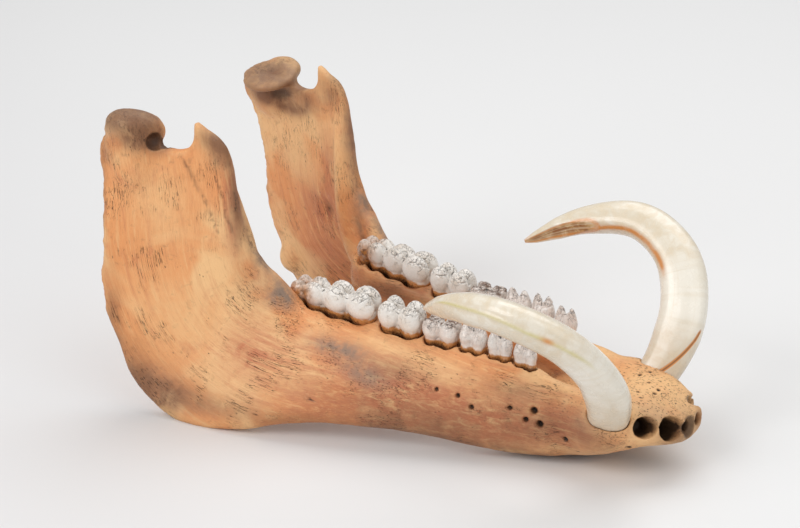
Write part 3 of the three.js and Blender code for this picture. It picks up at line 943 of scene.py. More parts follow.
# The bar along the tooth row: the middle of its top and half its width.
TOOTH_BAR = (
    ((226, 21.2, 45.5), 3.6),
    ((216, 21, 48), 5),
    ((204, 21.5, 49.8), 6),
    ((190, 22.2, 51), 7.2),
    ((175, 23, 51.6), 8.4),
    ((157, 24.2, 52.3), 9.4),
    ((135, 26.4, 54.8), 10.8),
    ((113, 28.6, 57.6), 11.4),
    ((97, 30.8, 60.4), 10.8),
    ((87, 32.6, 61.8), 8.4),
    ((81, 34.5, 58), 4),
)

# The pillar inside the front border of the ramus, from the top down.
PILLAR = (
    ((61.5, 52.8, 138), 1),
    ((65, 49, 117), 3.6),
    ((67.7, 47, 98), 5),
    ((71.2, 45.3, 78), 6.4),
    ((78, 43.5, 60), 7.6),
    ((95, 38.5, 42), 7.5),
)

# The fused chin from its rear edge to the front: x, half width, underside, level of the greatest
# width, rim, and how far the scoop between the rims dips.
CHIN_STATIONS = (
    (201, 12, 14, 17, 20, 0),
    (210, 20, 4, 17, 29, 7),
    (222, 24, 0.2, 20, 39.5, 14),
    (234, 28, 0, 24, 45.5, 15),
    (246, 31, 4, 26, 48.5, 14),
    (257, 32.5, 8.5, 26.5, 47.5, 10),
    (267, 29, 12.8, 27, 43.5, 5),
    (276, 24, 16, 27.5, 40.5, 3),
    (283.5, 20, 17.8, 27, 37, 2),
    (289, 15.5, 18.8, 27, 34.5, 1),
    (293, 9.5, 21, 27.5, 32.5, 0),
)

# The incisor sockets on one side: mouth, radius, the direction into the bone and the depth.
INCISOR_SOCKETS = (
    ((275.6, 19.8, 29.3), 5.5, (-0.66, -0.66, -0.36), 13),
    ((286, 13.2, 28.2), 6.2, (-0.8, -0.42, -0.42), 15),
    ((293.6, 4.4, 28), 3.7, (-0.97, -0.08, -0.22), 9),
)

# Swellings on both halves, below the joint head and above the angle: centre and radii.
SWELLINGS = (((15.5, 60.8, 131), (15.5, 7.2, 15)), ((17.5, 69.5, 32), (8, 5.4, 9)))

# The joint heads: centre, radii, turn about x and squareness. On the left a worn disc with a second
# plate on its outer side, on the right a full cap that runs down flush with the flank.
HEADS = (
    ((17, 55.5, 141.0), (15, 14.8, 2.8), 0.28, 4.0),
    ((19.5, 63.5, 143.0), (11, 8, 4.2), 0.5, 3.0),
    ((14.0, -57, 144.2), (14.4, 16.6, 9.4), -0.4, 2.2),
    ((13.5, -62, 131), (14.5, 9.8, 23), 0.0, 2.0),
)

# Where parts of the bone run softly into each other, on both halves alike, and on the right flank
# alone: centre, radii, strength and sides.
SOFT_SPOTS = (
    ((238, 22, 26), (16, 14, 22), 0.5, FAR), ((17, 60, 126), (16, 14, 11), 0.5, FAR),
    ((84, 41, 55), (16, 12, 22), 0.5, FAR), ((17, 70, 32), (16, 8, 16), 0.4, FAR),
    ((150, 30, 38), (80, 14, 12), 0.35, FAR),
)
SOFT_FLANK = (((13, 69, 132), (22, 8, 22), 0.5, NEAR),)

# Breaks in the bone: a broken front socket, one socket's burst side and a hole beside a joint head.
BREAKS = (
    ((294, -5, 27.5), (4.5, 5.2, 5.6)),
    ((288, 11, 34), (3.6, 4, 4.6)),
    ((28.5, -60, 140.5), (4.2, 5, 4.2)),
    ((31.5, -56, 139), (3.6, 4, 3)),
    ((25, 50.5, 131.5), (9, 4.4, 5.5)),
)

# Round holes for nerves and blood vessels on the outside: centre and radius.
FORAMINA = (
    ((177.2, 42.7, 34.9), 0.9), ((187.6, 40.3, 33.1), 1.0), ((194.8, 39.8, 28.5), 1.1),
    ((212.4, 34, 29.8), 1.1), ((220.4, 33, 25.1), 1.3), ((223.8, 31.2, 29.9), 1.7),
    ((227.2, 31.6, 23.7), 1.7), ((239.9, 28.5, 17.9), 1.3), ((270.3, 23.4, 19.2), 1.1),
    ((251, 27, 33), 0.8), ((262, 26, 26), 0.7), ((246, 24, 12), 0.8), ((258.6, 12, 39.5), 0.9),
    ((266, 6, 39), 0.8), ((273, 2, 38.5), 0.9), ((270, 11, 37.6), 0.7), ((262, 16, 41), 0.8),
    ((12, 77, 60), 0.6), ((66, 62, 66), 0.6), ((118, 62, 24), 0.7), ((60, 70, 30), 0.6),
)

# Relief raised or sunk along the surface: centre, radii, height and sides.
RELIEF = (
    ((71, 54.7, 112), (3, 3, 12), 0.6, BOTH), ((77, 53.5, 92), (3.4, 3, 12), 0.9, BOTH),
    ((84, 50.5, 75), (4, 3, 9), 1.0, BOTH), ((73, 45, 92), (3, 3, 14), 0.8, BOTH),
    ((76.5, 48.6, 98), (2.6, 2.6, 14), -1.1, BOTH), ((83.5, 46.5, 80), (3.4, 3, 9), -1.5, BOTH),
    ((52.8, 53.8, 71.8), (6, 4, 7), -2.4, BOTH), ((47, 55, 82), (5, 3, 5), 0.7, BOTH),
    ((40, 65, 96), (18, 7, 24), -0.9, BOTH), ((118, 60, 38), (16, 8, 9), 0.8, BOTH),
    ((104, 56, 52), (12, 6, 5), -0.8, BOTH), ((140, 53, 30), (26, 6, 7), 0.6, BOTH),
    ((150, 22, 38), (26, 5, 6), -0.8, BOTH), ((205, 12, 30), (16, 5, 8), -0.7, BOTH),
    ((20, 78, 24), (9, 4, 9), 0.8, BOTH), ((4, 76, 50), (4, 5, 7), 0.8, BOTH),
    ((2, 73, 80), (3, 5, 5), -0.8, BOTH), ((0, 70, 96), (3, 5, 6), 0.7, BOTH),
    ((14, 66, 138), (6, 5, 5), 0.6, NEAR), ((6, 64, 128), (4, 5, 4), -1.2, NEAR),
    ((19, 55.5, 144.5), (7, 2.6, 4), -1.6, FAR), ((24, 64, 146), (3, 3, 3), -1.0, FAR),
    ((10, 50, 140), (4, 4, 4), -0.9, FAR), ((12, 66, 151), (3, 4, 3), -0.6, NEAR),
    ((21, 62, 148), (5, 4, 4), -0.7, NEAR), ((215, 27, 38), (18, 4, 4), -0.7, BOTH),
    ((238, 24, 42), (10, 3, 4), 0.6, BOTH), ((268, 0, 38), (12, 12, 4), 0.7, BOTH),
)

# Colours that come and go over the bone: centre, radii, strength and sides.
GLOWING = (
    ((30, 58, 103), (9, 7, 13), 1.0, FAR), ((37, 58, 118), (11, 7, 9), 0.7, FAR),
    ((40, 57, 90), (9, 7, 13), 0.5, FAR), ((34, 66, 112), (18, 9, 18), 0.6, NEAR),
    ((42, 68, 52), (20, 9, 20), 0.6, NEAR), ((80, 70, 24), (20, 9, 12), 0.6, NEAR),
    ((178, 38, 42), (22, 8, 7), 0.6, BOTH), ((66, 62, 82), (14, 6, 20), 0.4, NEAR),
    ((262, 8, 40), (18, 16, 6), 0.7, BOTH), ((236, 24, 43), (14, 6, 5), 0.6, BOTH),
    ((140, 40, 50), (12, 8, 4), 0.6, BOTH), ((106, 63, 32), (14, 8, 8), 0.6, NEAR),
    ((10, 70, 150), (5, 6, 4), 0.8, NEAR),
)
RED = (
    ((70, 54.5, 122), (6, 6, 20), 0.75, BOTH), ((45, 56, 74), (18, 7, 15), 0.85, FAR),
    ((50, 59, 45), (26, 9, 16), 0.7, FAR), ((55, 51, 103), (6, 6, 12), 0.45, FAR),
    # The first mark below darkens the inner face between the tooth rows: reddish brown with painted shade.
    ((130, 22, 54), (34, 7, 12), 0.9, BOTH), ((166, 48, 29), (34, 8, 10), 0.55, BOTH),
    ((212, 20, 29), (14, 12, 10), 0.5, BOTH), ((205, 38, 18), (46, 12, 9), 0.7, BOTH),
    ((118, 63, 22), (26, 9, 10), 0.35, BOTH), ((60, 52, 90), (8, 5, 24), 0.5, FAR),
    ((86, 62, 50), (14, 6, 14), 0.35, NEAR), ((69, 55, 104), (5, 6, 22), 0.5, NEAR),
    ((165, 48, 28), (75, 22, 24), 0.9, BOTH), ((90, 62, 34), (30, 14, 24), 0.55, NEAR),
    ((240, 30, 26), (26, 12, 14), 0.7, BOTH),
)
BROWN = (
    ((16, 62, 151), (20, 20, 7), 0.6, NEAR), ((23, 66, 142), (9, 8, 6), 0.7, NEAR),
    ((29, 57, 140), (7, 6, 6), 0.9, NEAR), ((18, 54, 142), (22, 22, 8), 0.45, FAR),
    # The first mark below is brown with painted shade under the far joint head, round the hole there.
    ((24, 52, 130), (20, 13, 7), 1.0, FAR), ((32, 58, 130), (8, 8, 8), 0.8, FAR),
    ((66, 54, 140), (7, 7, 9), 0.75, NEAR), ((58, 56, 146), (6, 6, 6), 0.45, NEAR),
    ((72, 54, 117), (4, 6, 26), 0.6, BOTH), ((60, 52, 141), (8, 6, 9), 0.5, FAR),
    # Marks centred low on the body and under the chin, here and below, darken the bone towards the bottom.
    ((80, 66, 12), (50, 20, 6), 0.35, BOTH), ((165, 47, 17), (75, 9, 11), 0.4, BOTH),
    ((0, 72, 100), (3.5, 8, 44), 0.5, BOTH), ((8, 76, 40), (5, 4, 30), 0.45, BOTH),
    ((6, 67, 134), (6, 7, 6), 0.35, NEAR), ((30, 77, 14), (20, 5, 8), 0.4, BOTH),
    ((170, 42, 7), (70, 16, 5), 0.4, BOTH), ((230, 12, 2), (30, 26, 5), 0.5, BOTH),
    ((150, 44, 40), (20, 6, 5), 0.35, BOTH), ((206, 30, 38), (22, 5, 4), 0.35, BOTH),
    ((288, 10, 26), (9, 12, 8), 0.5, BOTH), ((74, 48, 70), (8, 6, 20), 0.4, BOTH),
    # The first mark below darkens the inner face between the tooth rows: brown with painted shade.
    ((118, 18, 50), (30, 6, 7), 0.55, BOTH), ((18, 78, 28), (14, 5, 16), 0.3, NEAR),
    ((200, 34, 20), (40, 9, 12), 0.25, BOTH), ((259, 31, 22), (12, 6, 8), 0.25, NEAR),
    ((232, 32, 24), (26, 9, 14), 0.32, BOTH), ((150, 54, 22), (60, 12, 10), 0.22, BOTH),
    ((36, 77, 14), (26, 8, 14), 0.35, BOTH),
)
GREY = (
    ((18, 54, 142), (22, 22, 8), 0.85, FAR), ((276, 15, 33), (9, 7, 5), 0.6, NEAR),
    # The second mark below is grey with painted shade in the trough behind the front border.
    ((72, 50, 122), (4, 5, 16), 0.75, BOTH), ((80, 47, 84), (5, 5, 20), 0.9, BOTH),
    ((88, 46, 70), (9, 5, 7), 0.85, BOTH), ((15, 62, 153), (20, 20, 6), 0.85, NEAR),
    ((30, 77, 17), (15, 5, 10), 0.5, NEAR), ((142, 52, 38), (14, 5, 6), 0.8, NEAR),
    ((96, 49, 66), (12, 6, 5), 0.8, BOTH), ((121, 50, 48), (12, 7, 4), 0.75, BOTH),
    ((133, 47, 46), (9, 6, 4), 0.6, BOTH), ((196, 16, 44), (24, 6, 6), 0.4, BOTH),
    ((250, 28, 30), (8, 6, 6), 0.5, NEAR),
)
POROUS = (
    ((264, 6, 39), (20, 20, 6), 1.0, BOTH), ((280, 12, 34), (12, 12, 6), 0.8, BOTH),
    ((30, 77, 16), (16, 5, 12), 0.8, BOTH), ((120, 54, 42), (22, 9, 8), 0.5, BOTH),
    ((150, 50, 32), (26, 6, 9), 0.6, BOTH), ((240, 26, 32), (20, 6, 12), 0.5, BOTH),
    ((14, 58, 150), (18, 18, 6), 0.6, BOTH), ((60, 54, 132), (12, 5, 10), 0.5, BOTH),
    ((200, 38, 24), (34, 8, 12), 0.35, BOTH),
)

# Dark cracks on the right half, each through its points.
CRACKS = (
    ((45, -59, 133), (48.5, -58.9, 126.9), (53, -58.2, 118.5), (57.1, -57.9, 110.5), (61.9, -57.2, 98.1)),
    ((62, -56.4, 125), (63.5, -56.2, 120), (66, -55.8, 110), (69.5, -55.2, 98.9)),
    ((12, -69.4, 142.5), (13.5, -68.7, 140.9), (16.5, -68, 138.2), (20.5, -66.7, 136)),
)


@dataclass
class JawBone:
    """Both halves of the jaw, grown together at the chin."""

    finish: BoneFinish
    voxel: float = 0.72
    first_voxel: float = 1.0
    cutter_voxel: float = 0.5
    triangles: int = 190000
    half_rings: int = 150
    notch_floor: tuple[float, float] = (39.6, 136.9)
    coronoid_tip: tuple[float, float] = (49.2, 152.8)
    notch_hook: tuple[tuple[float, float], ...] = ((49, 148.6), (48.8, 143.6), (45.8, 139.2))
    notch_neck: tuple[tuple[float, float], ...] = (
        (34, 137.4), (29.5, 140.5), (14, 145), (1, 141), (-7, 135), (-20, 128),
    )
    crest: tuple[tuple[float, float], ...] = ((55, 149.1), (61.8, 145.6), (66.4, 141.4), (69.3, 135))
    tooth_bar_depth: float = 19.0
    least_soft: float = 0.10
    most_soft: float = 0.6
    relax_steps: int = 26
    plug_outside: float = 6.0
    cutter_reach: float = 60.0
    cutter_top: float = 175.0
    quick_voxel: float = 1.1
    quick_triangles: int = 120000
    piece: Optional[bpy.types.Object] = field(default=None, init=False)

    def _half_rings(self) -> Array:
        """Lay out one half's rings.

        Returns:
            Points by ring and by place round it.
        """
        shares = np.linspace(0, 1, self.half_rings)
        low = smooth_curve([s[0] for s in HALF_STATIONS], shares)
        high = smooth_curve([s[1] for s in HALF_STATIONS], shares)
        thick = smooth_curve([s[2] for s in HALF_STATIONS], shares)
        bow = smooth_curve([(s[3], 0, 0) for s in HALF_STATIONS], shares)[:, 0]
        width = np.linalg.norm(high - low, axis=1)
        middle = (low + high) / 2
        outward = np.cross(np.gradient(middle, axis=0), high - low)
        outward /= np.linalg.norm(outward, axis=1)[:, None]
        outward *= np.sign(outward[:, 1])[:, None]
        edge = 1 - np.cos(np.linspace(0, math.pi / 2, 8)[1:])
        inner = np.linspace(0, 1, 16)[1:-1]
        columns = []
        for ring in range(self.half_rings):
            first = edge * thick[ring, 0] / width[ring]
            last = 1 - edge * thick[ring, 2] / width[ring]
            across = np.concatenate([first, first[-1] + (last[-1] - first[-1]) * inner, last[::-1]])
            t = 2 * across - 1
            at_low, halfway, at_high = thick[ring]
            full = at_low * t * (t - 1) / 2 + halfway * (1 - t * t) + at_high * t * (t + 1) / 2
            reach = np.minimum(across, 1 - across) * width[ring]
            radius = np.where(across < 0.5, at_low, at_high)
            rounding = np.sqrt(np.clip(1 - (1 - np.minimum(reach / radius, 1)) ** 2, 0, 1))
            centre = low[ring] + (high[ring] - low[ring]) * across[:, None]
            lift = bow[ring] * (1 - t * t)
            outer = centre + outward[ring] * (full * rounding + lift)[:, None]
            inner_face = centre + outward[ring] * (lift - full * rounding)[:, None]
            columns.append(np.vstack([low[ring], outer, high[ring], inner_face[::-1]]))
        return np.array(columns)

    def _tooth_bar(self) -> bpy.types.Object:
        """Build the bar that holds one row of cheek teeth."""
        shares = np.linspace(0, 1, 70)
        top = smooth_curve([s[0] for s in TOOTH_BAR], shares)
        half = smooth_curve([(s[1], 0, 0) for s in TOOTH_BAR], shares)[:, 0]
        angle = np.linspace(0, 2 * math.pi, 33)[:-1]
        side = half[:, None] * signed_power(np.cos(angle), 0.55)
        up = self.tooth_bar_depth / 2 * (signed_power(np.sin(angle), 0.45) - 1)
        section = np.stack([np.zeros_like(side), side, np.broadcast_to(up, side.shape)], axis=2)
        rings = top[:, None, :] + section
        return skin("tooth bar", rings)

    def _pillar(self) -> bpy.types.Object:
        """Build the pillar inside the front border."""
        shares = np.linspace(0, 1, 40)
        line = smooth_curve([s[0] for s in PILLAR], shares)
        radius = smooth_curve([(s[1], 0, 0) for s in PILLAR], shares)[:, 0]
        onward = np.gradient(line, axis=0)
        onward /= np.linalg.norm(onward, axis=1)[:, None]
        across = np.cross([0, 1, 0], onward)
        across /= np.linalg.norm(across, axis=1)[:, None]
        inward = np.cross(onward, across)
        angle = np.linspace(0, 2 * math.pi, 25)[:-1][None, :, None]
        section = across[:, None] * np.cos(angle) + inward[:, None] * np.sin(angle)
        rings = line[:, None] + radius[:, None, None] * section
        return skin("pillar", rings)

    def _chin(self) -> bpy.types.Object:
        """Build the fused chin: a scoop with a rounded underside."""
        shares = np.linspace(0, 1, 70)
        first = smooth_curve([(s[0], s[1], s[2]) for s in CHIN_STATIONS], shares)
        second = smooth_curve([(s[3], s[4], s[5]) for s in CHIN_STATIONS], shares)
        x, half, under = first[:, :1], first[:, 1:2], first[:, 2:3]
        wide, rim, dip = second[:, :1], second[:, 1:2], second[:, 2:3]
        angle = np.linspace(0, 2 * math.pi, 73)[:-1][None]
        side = signed_power(np.cos(angle), 0.9)
        up = np.sin(angle)
        hollow = dip * (1 - side**2) ** 1.5
        below = (wide - under) * signed_power(np.minimum(up, 0), 0.7)
        above = (rim - wide) * np.maximum(up, 0) ** 0.6 - hollow * np.maximum(up, 0)
        z = wide + below + above
        y = half * side
        return skin("chin", np.stack([np.broadcast_to(x, z.shape), np.broadcast_to(y, z.shape), z], axis=2))

    def _notch_cutter(self, side: Side, neck_drop: float) -> bpy.types.Object:
        """Build the block above the neck, the notch and the hook on one side.

        Args:
            side: The side that it cuts.
            neck_drop: How much lower the neck is left.

        Returns:
            The cutter.
        """
        neck = [(x, z - neck_drop if i > 1 else z) for i, (x, z) in enumerate(self.notch_neck)]
        knots = [self.coronoid_tip, *self.notch_hook, self.notch_floor, *neck]
        curve = smooth_curve([(x, 0, z) for x, z in knots], np.linspace(0, 1, 80))
        outline = [(p[0], p[2]) for p in curve]
        rear, front = neck[-1][0] - self.cutter_reach, self.crest[-1][0] + self.cutter_reach
        outline += [(rear, self.cutter_top), (front, self.cutter_top), (front, self.crest[-1][1])]
        outline += list(reversed(self.crest))
        near, far = (0.0, 100.0) if side is Side.LEFT else (-100.0, 0.0)
        rings = np.array([[(x, y, z) for x, z in outline] for y in (near, far)])
        return skin("notch", rings)

    def build(self, node: bpy.types.Object, tusks: Sequence["Tusk"], teeth: Sequence["CheekTooth"]) -> None:
        """Model the bone, cut its sockets and work its surface.

        Args:
            node: The CAD node that it stands for.
            tusks: The tusks, which cut their sockets.
            teeth: The cheek teeth, which cut theirs.
        """
        rings = self._half_rings()
        halves = {}
        for side in Side:
            half = skin("jaw bone" if side is Side.LEFT else "half", rings * np.array([1, side.value, 1]))
            carve(half, self._notch_cutter(side, 3 if side is Side.LEFT else -1))
            halves[side] = half
        extras = [self._tooth_bar(), self._pillar()]
        extras += [lump("swelling", *shape) for shape in SWELLINGS]
        extras += [mirrored(extra) for extra in list(extras)]
        extras += [lump("head", *shape) for shape in HEADS] + [self._chin()]
        bone = fuse([halves[Side.LEFT], halves[Side.RIGHT], *extras], self.first_voxel)
        LOG.info("bone fused: %d points", len(bone.data.vertices))
        net = Net.of(bone)
        net.relax(self._softness(net.points), self.relax_steps)
        net.store(bone)
        LOG.info("bone relaxed")
        cutters = [tusk.socket() for tusk in tusks]
        cutters += [cutter for tooth in teeth for cutter in tooth.socket()]
        cutters += self._incisor_cutters() + [lump("break", *gap) for gap in BREAKS]
        carve(bone, fuse(cutters, self.cutter_voxel))
        LOG.info("sockets cut")
        bone = fuse([bone], self.voxel)
        bone.name = "bone"
        LOG.info("bone skinned: %d points", len(bone.data.vertices))
        self.piece = bone
        self._sculpt(rings)
        self._clip_to(node)
        LOG.info("bone worked")
        self._thin_out()
        LOG.info("bone thinned")
        self._keep_values(rings)

    def _softness(self, points: Array) -> Array:
        """Say how strongly each place is smoothed where parts of the bone meet.

        Args:
            points: The bone's points.

        Returns:
            A strength for each point.
        """
        soft = self.least_soft + marked(folded(points), SOFT_SPOTS) + marked(points, SOFT_FLANK)
        return np.clip(soft, 0, self.most_soft)

    def _incisor_cutters(self) -> list[bpy.types.Object]:
        """Build the tapered plugs that cut the incisor sockets.

        Returns:
            The cutters on both sides.
        """
        cutters = []
        for mouth, radius, inward, depth in INCISOR_SOCKETS:
            bpy.ops.object.select_all(action="DESELECT")
            length = depth + self.plug_outside
            bpy.ops.mesh.primitive_cone_add(
                vertices=28, radius1=radius * 1.1 * MM, radius2=radius * 0.55 * MM, depth=length * MM)
            plug = bpy.context.object
            plug.data.transform(Matrix.Translation((0, 0, (length / 2 - self.plug_outside) * MM)))
            turn = Vector(inward).to_track_quat("Z", "Y").to_matrix().to_4x4()
            plug.data.transform(Matrix.Translation(Vector(to_row(np.array(mouth)))) @ turn)
            cutters += [plug, mirrored(plug)]
        return cutters

    def _sculpt(self, rings: Array) -> None:
        """Work the surface: rims, foramina, muscle marks and an uneven skin.

        Args:
            rings: The rings of one half, which give the run of the grain.
        """
        net = Net.of(self.piece)
        net.relax(np.full(len(net.points), 0.5), 2)
        normals = net.normals(self.piece)
        p = net.points
        worn = np.clip(marked(p, POROUS), 0, 1)
        rough = Noise(3).at(p, 34, 3) * 0.55 + Noise(5).at(p, 9, 3) * (0.20 + 0.25 * worn)
        grain = grain_of(folded(p), rings) / (14, 3.2, 3.2)
        rough += Noise(8).at(grain, 1.0, 3) * (0.12 + 0.12 * worn)
        rough += marked(p, RELIEF)
        rough += Noise(9).at(p, 6, 3) * 1.1 * ramp(9, 2, p[:, 0]) * ramp(24, 50, p[:, 2])
        for centre, radius in FORAMINA:
            hole = ((centre, (radius * 0.9,) * 3, -2.1 * radius, BOTH),)
            rough += marked(p, hole)
        ragged = blob(folded(p), (288, 8, 29), (9, 14, 8)) + blob(p, (29, -58, 141), (7, 6, 6))
        rough += Noise(12).at(p, 3.6, 2) * 0.55 * ragged
        net.points = p + normals * rough[:, None]
        net.store(self.piece)

    def _clip_to(self, node: bpy.types.Object) -> None:
        """Keep the bone inside its CAD node's box."""
        low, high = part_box(node.name)
        net = Net.of(self.piece)
        net.points = np.clip(net.points, to_measured(np.array(low)), to_measured(np.array(high)))
        net.store(self.piece)

    def _thin_out(self) -> None:
        """Drop faces where the surface is flat."""
        self.piece.data.calc_loop_triangles()
        count = len(self.piece.data.loop_triangles)
        if count > self.triangles:
            apply(self.piece, "DECIMATE", ratio=self.triangles / count, use_collapse_triangulate=True)

    def _keep_values(self, rings: Array) -> None:
        """Keep what the finish reads: the grain's run, hollows and patches.

        Args:
            rings: The rings of one half, which give the run of the grain.
        """
        net = Net.of(self.piece)
        normals = net.normals(self.piece)
        p = net.points
        keep(self.piece, "grain", grain_of(folded(p), rings))
        # hollow drives painted shade in the bone's dents and a painted highlight on its bumps.
        keep(self.piece, "hollow", net.hollows(normals, 6))
        # pit: painted shade inside foramina and breaks, deepening down the incisor sockets, plus dark
        # cracks.
        pit = np.zeros(len(p))
        for centre, radius in FORAMINA:
            for side in BOTH:
                offset = p - np.array(centre) * (1, side.value, 1)
                inward = 2 if centre[2] > 37 else 1
                depth = np.abs(offset[:, inward])
                gap = np.linalg.norm(np.delete(offset, inward, axis=1), axis=1)
                pit = np.maximum(pit, ramp(radius * 1.25, radius * 0.75, gap) * (depth < radius * 3 + 1.5))
        for mouth, radius, inward, _ in INCISOR_SOCKETS:
            aim = np.array(inward) / np.linalg.norm(inward)
            offset = folded(p) - np.array(mouth)
            depth = offset @ aim
            aside = np.linalg.norm(offset - depth[:, None] * aim, axis=1)
            pit = np.maximum(pit, ramp(1.0, 5.5, depth) * (aside < radius * 1.15) * 0.9)
        for centre, radii in BREAKS:
            reach = np.linalg.norm((p - np.array(centre)) / np.array(radii), axis=1)
            pit = np.maximum(pit, ramp(1.22, 0.95, reach) * 0.7)
        for line in CRACKS:
            path = smooth_curve(line, np.linspace(0, 1, 70))
            path += Noise(14).at(path, 5, 2)[:, None] * 0.9
            close = blob(p, path.mean(axis=0), (16, 16, 30)) > 0.05
            gap = np.linalg.norm(p[close][:, None] - path[None], axis=2).min(axis=1)
            pit[close] = np.maximum(pit[close], ramp(1.1, 0.3, gap) * 0.45)
        keep(self.piece, "pit", pit)
        patches = (("glow", GLOWING, 1.0), ("red", RED, 1.0), ("brown", BROWN, 1.7), ("grey", GREY, 1.05),
                   ("porous", POROUS, 1.0))
        for name, marks, strength in patches:
            keep(self.piece, name, np.clip(strength * marked(p, marks), 0, 1))

    def dress(self) -> None:
        """Give the bone its finish and its place in the frame."""
        dress_piece(self.piece, self.finish.material(), "jaw_bone")


def folded(points: Array) -> Array:
    """Fold both sides of the jaw onto the left side."""
    return np.stack([points[:, 0], np.abs(points[:, 1]), points[:, 2]], axis=1)


def grain_of(points: Array, rings: Array) -> Array:
    """Give each point its run along the bone and its place across it.

    Args:
        points: Points of one half, in measured millimetres.
        rings: That half's rings.

    Returns:
        Along, across and outward places, in millimetres.
    """
    middle = rings.mean(axis=1)
    run = np.concatenate([[0], np.cumsum(np.linalg.norm(np.diff(middle, axis=0), axis=1))])
    along = np.gradient(middle, axis=0)
    along /= np.linalg.norm(along, axis=1)[:, None]
    out = np.empty((len(points), 3))
    for start in range(0, len(points), 20000):
        chunk = points[start : start + 20000]
        gap = ((chunk[:, None, :] - middle[None, ::3]) ** 2).sum(axis=2)
        weight = np.exp(-(gap - gap.min(axis=1, keepdims=True)) / 160.0)
        weight /= weight.sum(axis=1, keepdims=True)
        centre = weight @ middle[::3]
        direction = weight @ along[::3]
        direction /= np.linalg.norm(direction, axis=1)[:, None]
        offset = chunk - centre
        ahead = (offset * direction).sum(axis=1)
        out[start : start + 20000, 0] = weight @ run[::3] + ahead
        up = np.cross(direction, [0, 1, 0])
        up /= np.linalg.norm(up, axis=1)[:, None]
        out[start : start + 20000, 1] = (offset * up).sum(axis=1)
        out[start : start + 20000, 2] = chunk[:, 1]
    return out


# The tusks


